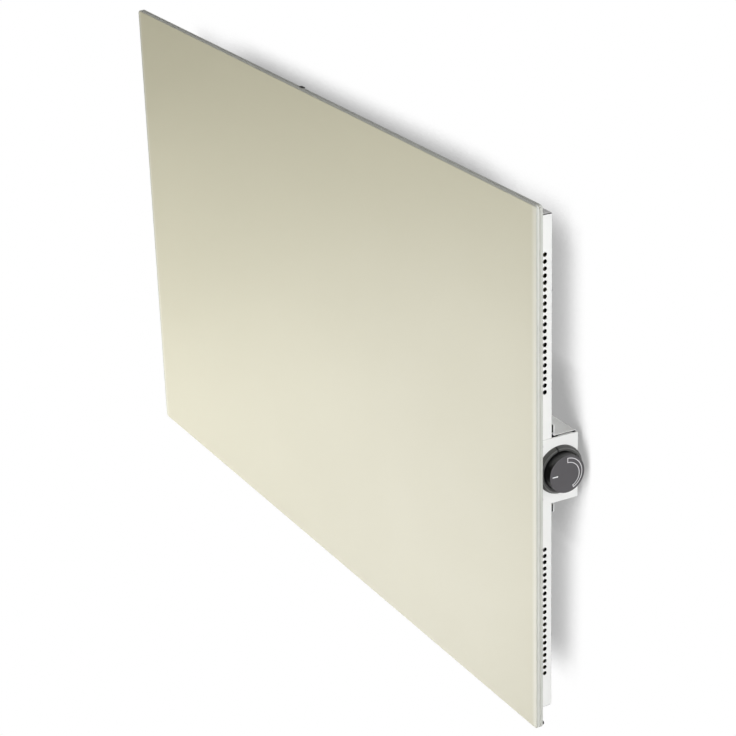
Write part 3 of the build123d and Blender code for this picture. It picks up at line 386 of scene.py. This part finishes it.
def make_painted_hollow_shade():
    """A mask on the inner faces of the case and of the control box, where a near-black painted shade goes."""
    tree, _, out = new_group("painted_hollow_shade", [], [("Float", "Mask")])
    point = axes(tree, object_point(tree))
    off_centre = calculate(tree, "ABSOLUTE", point["Z"])
    skin = SHEET / 2
    case_low, case_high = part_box("case_frame")
    box_low, box_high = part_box("control_box")
    case = ((case_low.x + skin, case_high.x - skin), (case_low.y + skin, case_high.y - skin),
            case_high.z - skin)
    box = ((box_low.x + SHEET + skin, box_high.x + skin), (box_low.y - skin, box_high.y - skin),
           PLATE_HIGH.z + skin)
    masks = []
    for across, deep, half_height in (case, box):
        inside = calculate(tree, "LESS_THAN", off_centre, half_height)
        for axis, (low, high) in (("X", across), ("Y", deep)):
            above = calculate(tree, "GREATER_THAN", point[axis], low)
            below = calculate(tree, "LESS_THAN", point[axis], high)
            inside = product(tree, inside, above, below)
        masks.append(inside)
    put_out(tree, out, Mask=calculate(tree, "MAXIMUM", *masks))
    return tree


def make_fibres():
    """Matted fibres: a light and dark mask, and their height."""
    tree, given, out = new_group("matted_fibres", [("Float", "Scale", 300.0)],
                                 [("Float", "Mask"), ("Float", "Height")])
    tangle, tangle_scale, clump_scale, clump_height = 50.0 * MM, 40.0, 45.0, 2.0
    point = object_point(tree)
    links = [("Vector", bend(tree, point, tangle_scale, tangle)), ("Scale", given["Scale"]),
             ("Distortion", 14.0), ("Detail", 3.0)]
    strands = add(tree, "TexWave", links).outputs["Fac"]
    clumps = noise(tree, point, clump_scale, detail=4.0)
    height = calculate(tree, "MULTIPLY_ADD", clumps, clump_height, strands)
    put_out(tree, out, Mask=product(tree, strands, clumps), Height=height)
    return tree


MAKERS = {"mottle": make_mottle, "grain": make_grain, "smudges": make_smudges, "dust": make_dust,
          "edge_wear": make_edge_wear, "brushing": make_brushing, "spangle": make_spangle,
          "pane_zones": make_pane_zones, "fibres": make_fibres, "painted_hollow_shade": make_painted_hollow_shade}
GROUPS = {}


def group(name):
    """The shared node group of that name, built at its first use."""
    if name not in GROUPS:
        GROUPS[name] = MAKERS[name]()
    return GROUPS[name]


# ---------------------------------------------------------------- materials
def rgba(value):
    """A colour with full alpha; another node's output stays as it is."""
    return value if isinstance(value, bpy.types.NodeSocket) else (*value, 1.0)


class Finish:
    """A material in the making: its node tree and its shader."""

    def __init__(self, name, **sockets):
        self.material = bpy.data.materials.new(name)
        self.material.use_nodes = True
        self.tree = self.material.node_tree
        self.shader = self.tree.nodes["Principled BSDF"]
        for label, value in sockets.items():
            self.shader.inputs[label].default_value = value

    def use(self, name, **values):
        """Places a shared group and gives its outputs; a value may be another node's output."""
        node = self.tree.nodes.new("ShaderNodeGroup")
        node.node_tree = group(name)
        for label, value in values.items():
            supply(self.tree, node.inputs[label], value)
        return node.outputs

    def mottle(self, tint, scale, depth):
        """A colour that varies softly."""
        return self.use("mottle", Colour=rgba(tint), Scale=scale, Depth=depth)["Colour"]

    def smudge(self, low, high, scale):
        """A roughness that varies in patches."""
        return self.use("smudges", Low=low, High=high, Scale=scale)["Roughness"]

    def mix(self, factor, first, second):
        """A colour between two, by a mask."""
        links = [(0, factor), (6, rgba(first)), (7, rgba(second))]
        return add(self.tree, "Mix", links, data_type="RGBA").outputs[2]

    def blend(self, factor, first, second):
        """A number between two, by a mask."""
        return remap(self.tree, factor, (0.0, 1.0), (first, second))

    def paint(self, tint, roughness):
        """Links a colour and a roughness to the shader."""
        self.tree.links.new(tint, self.shader.inputs["Base Color"])
        self.tree.links.new(roughness, self.shader.inputs["Roughness"])

    def bump(self, height, depth, strength=1.0):
        """Bumps the surface by a height map."""
        links = [("Height", height), ("Distance", depth), ("Strength", strength)]
        self.tree.links.new(add(self.tree, "Bump", links).outputs["Normal"], self.shader.inputs["Normal"])

    def grain(self, scale, fineness, depth, strength=0.5):
        """Bumps the surface by a fine grain."""
        self.bump(self.use("grain", Scale=scale, Fineness=fineness)["Height"], depth, strength)


def wear(names, finish):
    """Gives the frame's nodes of these names a material."""
    for name in names:
        mesh = NODES[name].data
        mesh.materials.clear()
        mesh.materials.append(finish.material)


def toned(tint, gain, lift=0.0):
    """A colour times a gain, with a lift added."""
    return tuple(min(1.0, gain * channel + lift) for channel in tint)


def pane_finish(name, look, face, border_highlight, edge_tint, low, high):
    """Glass with a coat behind it: a border and a rim on its face, a ground arris and a polished edge."""
    finish = Finish(name, IOR=1.52)
    ground_roughness = 0.42
    zones = finish.use("pane_zones", Arris=look.arris_width, Border=look.border_width, Rim=look.rim_width)
    front = finish.mottle(face, scale=2.2, depth=0.012)
    # On the face: a painted highlight strip, a darker painted refraction band and the ground arris
    for zone, tint in (("Border", border_highlight), ("Rim", look.refraction_rim), ("Arris", look.arris)):
        front = finish.mix(zones[zone], front, tint)
    # On the edge: a painted highlight on its core
    flank = finish.mottle(finish.mix(zones["Core"], edge_tint, look.edge_core_highlight), scale=35.0, depth=0.05)
    satin = finish.smudge(low, high, scale=9.0)
    ground = calculate(finish.tree, "MAXIMUM", zones["Edge"], zones["Arris"])
    finish.paint(finish.mix(zones["Edge"], front, flank), finish.blend(ground, satin, ground_roughness))
    finish.grain(scale=900.0, fineness=2.0, depth=0.01 * MM, strength=0.25)
    return finish


def painted_steel(look):
    """White powder coat: fine orange peel, a little dust on top, worn thin along its edges, painted shade
    inside.
    """
    finish = Finish("white_powder_coat", IOR=1.5)
    thin_coat = (0.60, 0.60, 0.58)
    dust = finish.use("dust", Amount=0.22, Scale=70.0)["Mask"]
    worn = finish.use("edge_wear", Radius=0.5 * MM, Amount=0.25)["Mask"]
    # Mask of the inner faces, which get the painted shade colour
    hollow_shade_mask = finish.use("painted_hollow_shade")["Mask"]
    dusty = finish.mix(dust, finish.mottle(look.paint, scale=7.0, depth=0.008), look.dust)
    coated = finish.mix(worn, dusty, thin_coat)
    satin = finish.smudge(low=0.36, high=0.50, scale=18.0)
    finish.paint(finish.mix(hollow_shade_mask, coated, look.painted_inner_shade), satin)
    finish.grain(scale=750.0, fineness=2.6, depth=look.grain)
    return finish


def plated_steel(name, tint, low, high, stretch=(260.0, 260.0, 260.0)):
    """Bare or plated metal with fine tool lines and a faint stain."""
    finish = Finish(name, Metallic=1.0)
    lines = finish.use("brushing", Stretch=stretch, Low=low, High=high)
    finish.paint(finish.mottle(tint, scale=90.0, depth=0.06), lines["Roughness"])
    finish.bump(lines["Height"], depth=0.02 * MM, strength=0.4)
    return finish


def galvanised_steel(look):
    """Hot-dip zinc with its crystals, dulled by dust on top."""
    finish = Finish("galvanised_steel", Metallic=1.0)
    crystals = finish.use("spangle", Colour=rgba(look.zinc), Size=look.spangle)
    dust = finish.use("dust", Amount=0.3, Scale=50.0)["Mask"]
    finish.paint(finish.mix(dust, crystals["Colour"], look.dust), crystals["Roughness"])
    finish.bump(crystals["Height"], depth=0.02 * MM, strength=0.3)
    return finish


def moulded_plastic(name, tint, low, high, scale=1500.0):
    """Moulded plastic with a fine eroded texture, worn paler on its edges."""
    finish = Finish(name, IOR=1.49)
    worn = finish.use("edge_wear", Radius=0.4 * MM, Amount=0.35)["Mask"]
    tone = finish.mottle(tint, scale=60.0, depth=0.03)
    paler_tone = finish.mix(worn, tone, toned(tint, gain=1.6, lift=0.015))
    finish.paint(paler_tone, finish.smudge(low, high, scale=45.0))
    finish.grain(scale, fineness=2.0, depth=0.02 * MM)
    return finish


def soft_rubber(name, tint, bloom=0.12):
    """Rubber or silicone: matt, with a pale bloom on top and a skin of fine pores."""
    finish = Finish(name, IOR=1.45)
    pale_bloom = (0.35, 0.34, 0.33)
    dust = finish.use("dust", Amount=bloom, Scale=90.0)["Mask"]
    tone = finish.mix(dust, finish.mottle(tint, scale=120.0, depth=0.08), pale_bloom)
    finish.paint(tone, finish.smudge(low=0.62, high=0.82, scale=60.0))
    finish.grain(scale=1100.0, fineness=2.5, depth=0.04 * MM, strength=0.6)
    return finish


def knob_finish(look):
    """One moulding: a satin dark grey face and chamfer, and a black grip behind it."""
    finish = Finish("knob_cap_and_grip", IOR=1.49)
    paler_tone, grip_roughness, blur = (0.16, 0.16, 0.165), 0.30, 0.1 * MM
    along = axes(finish.tree, object_point(finish.tree))["X"]
    face_start = KNOB_HIGH.x - look.cap_edge
    face = remap(finish.tree, along, (face_start - blur, face_start + blur))
    grip = finish.mottle(look.grip, scale=90.0, depth=0.06)
    cap = finish.mottle(look.cap, scale=140.0, depth=0.03)
    worn = finish.use("edge_wear", Radius=0.5 * MM, Amount=0.3)["Mask"]
    satin = finish.smudge(low=0.44, high=0.56, scale=90.0)
    tone = finish.mix(worn, finish.mix(face, grip, cap), paler_tone)
    finish.paint(tone, finish.blend(face, grip_roughness, satin))
    finish.grain(scale=1900.0, fineness=1.8, depth=0.012 * MM)
    return finish


def collar_finish(look):
    """Moulded collar: a painted highlight on a ring round the knob, and painted shade in the index notch near
    its top.
    """
    finish = moulded_plastic("collar_plastic", look.collar, 0.34, 0.46)
    tree = finish.tree
    lip_inset, lip_half_width, notch_half_angle = 2.6 * MM, 0.45 * MM, 0.036
    # Near-black painted shade for the index notch
    notch_shade = (0.012, 0.012, 0.012)
    point = axes(tree, object_point(tree))
    from_y = calculate(tree, "SUBTRACT", point["Y"], (COLLAR_LOW.y + COLLAR_HIGH.y) / 2)
    squares = [calculate(tree, "POWER", distance, 2.0) for distance in (from_y, point["Z"])]
    radius = calculate(tree, "SQRT", calculate(tree, "ADD", *squares))
    # Ring near the collar's inner edge where the painted highlight goes
    lip_highlight = calculate(tree, "COMPARE", radius, COLLAR_HIGH.z - lip_inset, lip_half_width)
    turn = calculate(tree, "ARCTAN2", from_y, point["Z"])
    # Painted shade in the index notch near the collar's top
    notch = calculate(tree, "COMPARE", turn, -look.notch_turn, notch_half_angle)
    colour_input = finish.shader.inputs["Base Color"]
    # Painted highlight: the ring 1.9 times paler than the collar
    paler_tone = finish.mix(lip_highlight, colour_input.links[0].from_socket, toned(look.collar, gain=1.9))
    tree.links.new(finish.mix(notch, paler_tone, notch_shade), colour_input)
    return finish


def printed_ink(look):
    """Pale pad-printed ink, slightly thin in places."""
    finish = Finish("printed_marks", IOR=1.5)
    tone = finish.mottle(look.print_ink, scale=700.0, depth=0.06)
    finish.paint(tone, finish.smudge(low=0.35, high=0.55, scale=300.0))
    finish.grain(scale=3000.0, fineness=2.0, depth=0.004 * MM)
    return finish


def mineral_fibre(look):
    """A mat of matted mineral fibre."""
    finish = Finish("mineral_fibre", Roughness=0.95, IOR=1.4)
    strands = finish.use("fibres", Scale=260.0)
    tone = finish.mix(strands["Mask"], toned(look.fibre, gain=0.45), look.fibre)
    finish.tree.links.new(tone, finish.shader.inputs["Base Color"])
    finish.bump(strands["Height"], depth=0.6 * MM, strength=0.8)
    return finish


def foil_facing():
    """Crinkled aluminium foil on a board."""
    finish = Finish("foil_facing", Metallic=1.0)
    lines = finish.use("brushing", Stretch=(30.0, 30.0, 300.0), Low=0.22, High=0.42)
    finish.paint(finish.mottle((0.80, 0.80, 0.81), scale=16.0, depth=0.04), lines["Roughness"])
    finish.grain(scale=90.0, fineness=3.0, depth=0.3 * MM, strength=0.6)
    return finish


def striped_insulation(look):
    """Green insulation with a yellow stripe that winds round the earth wire."""
    finish = Finish("earth_insulation", IOR=1.42)
    tree = finish.tree
    slope, stripes_per_metre, stripe_edge = 2.0, 1500.0, (0.15, 0.35)
    point = axes(tree, object_point(tree))
    slant = calculate(tree, "ADD", point["X"], product(tree, point["Y"], slope))
    stripe = remap(tree, calculate(tree, "SINE", product(tree, slant, stripes_per_metre)), stripe_edge)
    green = finish.mottle(look.earth, scale=200.0, depth=0.05)
    satin = finish.smudge(low=0.45, high=0.65, scale=200.0)
    finish.paint(finish.mix(stripe, green, look.earth_stripe), satin)
    return finish


# ---------------------------------------------------------------- new pieces
def select_only(target):
    """Makes one object the only selected and active one."""
    bpy.ops.object.select_all(action="DESELECT")
    target.select_set(True)
    bpy.context.view_layer.objects.active = target


def close_up(piece, gap):
    """Joins a piece's points that lie closer than the gap, and turns its faces outwards."""
    select_only(piece)
    bpy.ops.object.mode_set(mode="EDIT")
    bpy.ops.mesh.select_all(action="SELECT")
    bpy.ops.mesh.remove_doubles(threshold=gap)
    bpy.ops.mesh.normals_make_consistent(inside=False)
    bpy.ops.object.mode_set(mode="OBJECT")


def select_faces(piece, test):
    """Opens a piece in edit mode with only the faces selected that pass the test."""
    select_only(piece)
    bpy.ops.object.mode_set(mode="EDIT")
    bpy.ops.mesh.select_mode(type="FACE")
    bpy.ops.mesh.select_all(action="DESELECT")
    bpy.ops.object.mode_set(mode="OBJECT")
    for face in piece.data.polygons:
        face.select = test(face)
    bpy.ops.object.mode_set(mode="EDIT")


def merged_copy(node, name):
    """A copy of a frame's node as one closed mesh."""
    select_only(NODES[node])
    bpy.ops.object.duplicate(linked=False)
    piece = bpy.context.active_object
    piece.name = name
    for label in list(piece.keys()):
        del piece[label]
    close_up(piece, 0.02 * MM)
    return piece


def finish_modifiers(piece):
    """Applies every modifier of a piece and leaves it selected."""
    select_only(piece)
    for modifier in list(piece.modifiers):
        bpy.ops.object.modifier_apply(modifier=modifier.name)


def uneven(piece, size, depth, inward):
    """Makes a surface uneven; where inward is 1, it only moves inward, by at most the depth."""
    texture = bpy.data.textures.new(piece.name + "_unevenness", "CLOUDS")
    texture.noise_scale = size
    modifier = piece.modifiers.new("unevenness", "DISPLACE")
    modifier.texture = texture
    modifier.texture_coords = "LOCAL"
    modifier.strength = depth
    modifier.mid_level = inward


def take_over(piece, body, slot, finish, *nodes):
    """Makes a modelled piece stand for soft solids of the frame."""
    piece.data.materials.clear()
    piece.data.materials.append(finish.material)
    bpy.ops.object.select_all(action="DESELECT")
    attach(piece, body)
    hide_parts(*nodes)


def squeezed_bead(finish):
    """The silicone between the panes and the case: a ring squeezed flat, with rounded edges."""
    bead = merged_copy("silicone_bead", "sealant_bead")
    bevel = bead.modifiers.new("round_edges", "BEVEL")
    bevel.width, bevel.segments, bevel.limit_method = 0.55 * MM, 3, "ANGLE"
    finish_modifiers(bead)
    bpy.ops.object.shade_smooth_by_angle(angle=math.radians(50))
    take_over(bead, "heater", "seal", finish, "silicone_bead")


def fibre_mat(finish):
    """The insulation mat: its faces sag a little between the board and the cover."""
    mat = merged_copy("insulation_mat", "fibre_mat")
    remesh = mat.modifiers.new("weave_grid", "REMESH")
    remesh.mode, remesh.voxel_size = "VOXEL", 5.0 * MM
    uneven(mat, size=30.0 * MM, depth=2.2 * MM, inward=1.0)
    finish_modifiers(mat)
    bpy.ops.object.shade_smooth()
    take_over(mat, "heater", "mineral_mat", finish, "insulation_mat")


def soft_dot(name, radius, base_y, depth, places, finish, slot, node):
    """Round rubber pads with a rounded outer edge, stuck on by their feet at base_y."""
    rounding, rim_segments, near_enough = 0.4 * abs(depth), 4, 0.01 * MM
    middle_y, outer_y = base_y + depth / 2, base_y + depth
    pads = []
    for x, z in places:
        bpy.ops.object.select_all(action="DESELECT")
        bpy.ops.mesh.primitive_cylinder_add(vertices=32, radius=radius, depth=abs(depth),
                                            location=(x, middle_y, z), rotation=(math.radians(90), 0, 0))
        pad = bpy.context.active_object
        bpy.ops.object.transform_apply(location=True, rotation=True, scale=True)
        select_faces(pad, lambda face: abs(face.center.y - outer_y) < near_enough)
        bpy.ops.mesh.bevel(offset=rounding, segments=rim_segments, affect="EDGES")
        bpy.ops.object.mode_set(mode="OBJECT")
        pads.append(pad)
    select_only(pads[0])
    for pad in pads:
        pad.select_set(True)
    bpy.ops.object.join()
    joined = bpy.context.active_object
    joined.name = name
    close_up(joined, 0.001 * MM)
    bpy.ops.object.shade_smooth_by_angle(angle=math.radians(40))
    take_over(joined, "heater", slot, finish, node)


# ---------------------------------------------------------------- studio
def one_sided(name, tint, look):
    """A pale matt surface that looks white to the camera, shaded softly where something stands close to it.

    It is clear from behind, and it lets the lamps' light through.
    """
    full_shade, no_shade = 0.27, 0.51
    material = bpy.data.materials.new(name)
    material.use_nodes = True
    tree = material.node_tree
    shader = tree.nodes["Principled BSDF"]
    shader.inputs["Base Color"].default_value = rgba(tint)
    shader.inputs["Roughness"].default_value = 0.9
    shader.inputs["Specular IOR Level"].default_value = 0.1
    clear = add(tree, "BsdfTransparent")
    behind = add(tree, "NewGeometry").outputs["Backfacing"]
    shadow = add(tree, "LightPath").outputs["Is Shadow Ray"]
    passing = calculate(tree, "MAXIMUM", behind, shadow)
    nearby = add(tree, "AmbientOcclusion", [("Distance", look.contact_reach)], samples=16)
    shade = remap(tree, nearby.outputs["AO"], (full_shade, no_shade), (look.contact, 1.0))
    bright = add(tree, "Emission", [("Strength", shade)])
    seen = add(tree, "LightPath").outputs["Is Camera Ray"]
    front = add(tree, "MixShader", [(0, seen), (1, shader.outputs[0]), (2, bright.outputs[0])])
    mixed = add(tree, "MixShader", [(0, passing), (1, front.outputs[0]), (2, clear.outputs[0])])
    tree.links.new(mixed.outputs[0], tree.nodes["Material Output"].inputs["Surface"])
    return material


def build_walls(look):
    """The wall behind the rails and the floor below, each one-sided."""
    reach = 4.0
    for name, tint, turn, place in (
            ("wall", look.wall, (math.radians(90), 0, 0), (0, 0, 0)),
            ("floor", look.floor, (0, 0, 0), (0, -reach, look.floor_drop))):
        bpy.ops.object.select_all(action="DESELECT")
        bpy.ops.mesh.primitive_plane_add(size=2 * reach, location=place, rotation=turn)
        plane = bpy.context.active_object
        plane.name = name
        bpy.ops.object.transform_apply(location=True, rotation=True, scale=True)
        plane.data.materials.append(one_sided(name + "_paint", tint, look))


def soft_light(name, watts, size, place, target, tint=(1.0, 1.0, 1.0)):
    """A large soft light that faces a point and can't be seen itself."""
    bpy.ops.object.select_all(action="DESELECT")
    bpy.ops.object.light_add(type="AREA", location=place)
    light = bpy.context.active_object
    light.name = name
    light.data.shape = "RECTANGLE"
    light.data.size, light.data.size_y = size
    light.data.energy = watts
    light.data.color = tint
    light.rotation_euler = (Vector(target) - Vector(place)).to_track_quat("-Z", "Y").to_euler()
    light.visible_camera = False


def build_lights(look):
    """The key before the panel, the side light at the knob, three that the glass mirrors and one behind."""
    centre, control_side, above_knob = (0.0, 0.0, 0.0), (0.5, 0.0, 0.0), (0.5, 0.0, 0.1)
    left_of_panel, warm, faintly_warm = (-1.45, 0.0, 0.0), (1.0, 0.98, 0.83), (1.0, 0.98, 0.90)
    soft_light("key_light", look.key, (3.0, 2.4), (0.4, -3.2, 1.0), centre)
    soft_light("side_light", look.side, (1.6, 1.6), (3.0, -0.4, 0.6), above_knob)
    soft_light("far_light", look.far, (2.0, 0.9), (-3.3, -1.6, -1.25), centre, warm)
    soft_light("near_light", look.near, (0.9, 1.1), (-1.62, -1.5, -1.22), control_side)
    soft_light("low_light", look.low, (2.3, 0.75), (-1.45, -0.85, -1.15), left_of_panel, faintly_warm)
    soft_light("rear_light", look.rear, (2.6, 2.0), (0.2, 2.4, 0.5), centre)


def build_sky(look):
    """A background that looks even and white, and lights the scene more from the sides than from above."""
    dimmest_from, dimmest = 0.8, 0.3
    world = bpy.data.worlds.new("studio")
    bpy.context.scene.world = world
    world.use_nodes = True
    tree = world.node_tree
    background = tree.nodes["Background"]
    background.inputs["Color"].default_value = (1.0, 1.0, 1.0, 1.0)
    up = axes(tree, add(tree, "TexCoord").outputs["Generated"])["Z"]
    lit = product(tree, remap(tree, up, (0.0, dimmest_from), (1.0, dimmest)), look.sky)
    seen = add(tree, "LightPath").outputs["Is Camera Ray"]
    tree.links.new(remap(tree, seen, (0.0, 1.0), (lit, 1.0)), background.inputs["Strength"])


def build_camera(look):
    """The camera at the photograph's viewing angle."""
    side, tilt = look.azimuth, look.elevation
    back = Vector((math.sin(side) * math.cos(tilt), -math.cos(side) * math.cos(tilt), math.sin(tilt)))
    right = (-back).cross(Vector((0, 0, 1))).normalized()
    up = right.cross(-back)
    cosine, sine = math.cos(look.roll), math.sin(look.roll)
    turn = Matrix((cosine * right + sine * up, cosine * up - sine * right, back)).transposed()
    bpy.ops.object.select_all(action="DESELECT")
    bpy.ops.object.camera_add()
    camera = bpy.context.active_object
    camera.matrix_world = Matrix.Translation(look.place) @ turn.to_4x4()
    camera.data.lens = look.lens
    camera.data.sensor_width = 36.0
    camera.data.clip_start, camera.data.clip_end = 0.05, 100.0
    bpy.context.scene.camera = camera


# ---------------------------------------------------------------- operators
class HEATER_OT_glass(bpy.types.Operator):
    """Finishes the laminated glass panel: its panes, interlayer, film and busbars, and its edge clip."""

    bl_idname = "heater.glass"
    bl_label = "Finish the glass panel"

    def execute(self, context):
        look = context.scene.heater_glass
        smudged = look.roughness + 0.03
        wear(["glass_front"], pane_finish("lacquered_front_pane", look, look.lacquer, look.border_highlight, look.edge,
                                          look.roughness, smudged))
        wear(["rear_pane"], pane_finish("coated_rear_pane", look, look.back, look.back, look.rear_edge,
                                        0.14, 0.26))
        wear(["bond_layer"], soft_rubber("clear_interlayer", (0.68, 0.69, 0.65), 0.0))
        wear(["heating_film"], moulded_plastic("carbon_film", (0.02, 0.02, 0.022), 0.4, 0.6, 900.0))
        wear(["busbars"], plated_steel("rolled_copper", (0.80, 0.42, 0.26), 0.22, 0.40, (5.0, 700.0, 700.0)))
        wear(["top_edge_clip"], plated_steel("blued_spring_steel", (0.035, 0.035, 0.038), 0.35, 0.5))
        return {"FINISHED"}


class HEATER_OT_case(bpy.types.Operator):
    """Finishes the painted steel of the case and the control box, and the zinc-plated screws."""

    bl_idname = "heater.case"
    bl_label = "Finish the steel case"

    def execute(self, context):
        look = context.scene.heater_steel
        wear(["case_frame", "rear_cover", "control_box", "box_end_cap", "control_plate"], painted_steel(look))
        wear(["cover_screws", "box_screws", "cap_screws", "plate_screws", "clip_screws",
              "hanging_rail_screws", "thermostat_screws", "terminal_screws", "block_screw"],
             plated_steel("bright_zinc", look.zinc, 0.24, 0.42))
        return {"FINISHED"}


class HEATER_OT_rails(bpy.types.Operator):
    """Finishes the wall rails, hanging rail and lock screw, and models the rubber pads and bumpers."""

    bl_idname = "heater.rails"
    bl_label = "Finish the wall rails"

    def execute(self, context):
        look = context.scene.heater_steel
        wear(["hanging_rail", "wall_rail_upper", "wall_rail_lower"], galvanised_steel(look))
        wear(["lock_screw"], plated_steel("stainless_screw", (0.62, 0.61, 0.60), 0.2, 0.35))
        rubber = soft_rubber("black_rubber", context.scene.heater_inside.rubber)
        for name, node, faces_room in (("rail_buffers", "rail_pads", True),
                                       ("corner_dots", "corner_bumpers", False)):
            low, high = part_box(node)
            radius, middle_z = (high.z - low.z) / 2, (low.z + high.z) / 2
            places = [(low.x + radius, middle_z), (high.x - radius, middle_z)]
            base, depth = (high.y, low.y - high.y) if faces_room else (low.y, high.y - low.y)
            soft_dot(name, radius, base, depth, places, rubber, "bumper_rubber", node)
        return {"FINISHED"}


class HEATER_OT_knob(bpy.types.Operator):
    """Finishes the knob, its marks and collar, the thermostat, the cut-outs and all brass pieces."""

    bl_idname = "heater.knob"
    bl_label = "Finish the knob"

    def execute(self, context):
        look = context.scene.heater_knob
        wear(["control_knob"], knob_finish(look))
        wear(["dial_marks"], printed_ink(look))
        wear(["dial_collar"], collar_finish(look))
        wear(["thermostat_shaft", "knob_clip"],
             plated_steel("turned_steel", (0.58, 0.57, 0.56), 0.2, 0.34, (900.0, 60.0, 60.0)))
        wear(["thermostat_body", "overheat_cutouts"],
             moulded_plastic("phenolic", (0.03, 0.022, 0.018), 0.3, 0.5))
        wear(["thermostat_bush", "thermostat_blades", "contact_posts", "contact_nuts", "earth_stud",
              "earth_nuts"], plated_steel("turned_brass", (0.80, 0.58, 0.26), 0.22, 0.38))
        return {"FINISHED"}


class HEATER_OT_gland(bpy.types.Operator):
    """Finishes the cable gland and the sensor with its tube and clips."""

    bl_idname = "heater.gland"
    bl_label = "Finish the gland and the sensor"

    def execute(self, context):
        wear(["cable_gland", "gland_dome", "gland_locknut"],
             moulded_plastic("black_polyamide", (0.018, 0.018, 0.019), 0.36, 0.52))
        wear(["sensor_bulb", "capillary_tube"],
             plated_steel("drawn_copper", (0.72, 0.38, 0.24), 0.24, 0.44, (30.0, 500.0, 500.0)))
        wear(["bulb_clips"], plated_steel("stainless_strip", (0.60, 0.60, 0.59), 0.22, 0.38))
        return {"FINISHED"}


class HEATER_OT_inside(bpy.types.Operator):
    """Finishes the seals, the insulation, the terminals and the wires."""

    bl_idname = "heater.inside"
    bl_label = "Finish the inside"

    def execute(self, context):
        look = context.scene.heater_inside
        squeezed_bead(soft_rubber("sealant", look.sealant))
        wear(["box_gasket", "wire_grommet"], soft_rubber("heat_barrier", look.rubber))
        fibre_mat(mineral_fibre(look))
        wear(["reflector_board"], foil_facing())
        wear(["ring_lugs", "earth_lug"], plated_steel("tinned_copper", (0.66, 0.65, 0.62), 0.25, 0.45))
        wear(["terminal_block"], moulded_plastic("pale_polyamide", (0.72, 0.70, 0.60), 0.35, 0.5))
        wear(["live_in_wire", "live_out_wire"], soft_rubber("live_insulation", look.live, 0.05))
        wear(["neutral_wire"], soft_rubber("neutral_insulation", look.neutral, 0.05))
        wear(["upper_link_wire", "lower_link_wire"], soft_rubber("link_insulation", look.link, 0.05))
        wear(["earth_wire"], striped_insulation(look))
        return {"FINISHED"}


class HEATER_OT_studio(bpy.types.Operator):
    """Builds the wall, the floor, the lights and the camera."""

    bl_idname = "heater.studio"
    bl_label = "Build the studio"

    def execute(self, context):
        look = context.scene.heater_studio
        build_walls(look)
        build_lights(look)
        build_sky(look)
        build_camera(look)
        context.scene.view_settings.view_transform = "Standard"
        return {"FINISHED"}


class HEATER_PT_sidebar(bpy.types.Panel):
    """Lists the heater's operators and settings."""

    bl_label = "Infrared panel heater"
    bl_idname = "HEATER_PT_sidebar"
    bl_space_type = "VIEW_3D"
    bl_region_type = "UI"
    bl_category = "Heater"

    def draw(self, context):
        layout = self.layout
        for operator in OPERATORS:
            layout.operator(operator.bl_idname)
        for name, kind in LOOKS.items():
            box = layout.box()
            look = getattr(context.scene, name)
            for setting in kind.__annotations__:
                box.prop(look, setting)


LOOKS = {"heater_glass": GlassLook, "heater_steel": SteelLook, "heater_knob": KnobLook,
         "heater_inside": InsideLook, "heater_studio": StudioLook}
OPERATORS = [HEATER_OT_glass, HEATER_OT_case, HEATER_OT_rails, HEATER_OT_knob, HEATER_OT_gland,
             HEATER_OT_inside, HEATER_OT_studio]


def register():
    """Makes the settings, the operators and the sidebar known to Blender."""
    for kind in [*LOOKS.values(), *OPERATORS, HEATER_PT_sidebar]:
        bpy.utils.register_class(kind)
    for name, kind in LOOKS.items():
        setattr(bpy.types.Scene, name, PointerProperty(type=kind))


def unregister():
    """Takes them out again."""
    for name in LOOKS:
        delattr(bpy.types.Scene, name)
    for kind in reversed([*LOOKS.values(), *OPERATORS, HEATER_PT_sidebar]):
        bpy.utils.unregister_class(kind)


def main():
    """Dresses the heater and builds the studio."""
    register()
    bpy.ops.heater.glass()
    bpy.ops.heater.case()
    bpy.ops.heater.rails()
    bpy.ops.heater.knob()
    bpy.ops.heater.gland()
    bpy.ops.heater.inside()
    bpy.ops.heater.studio()


if __name__ == "__main__":
    main()
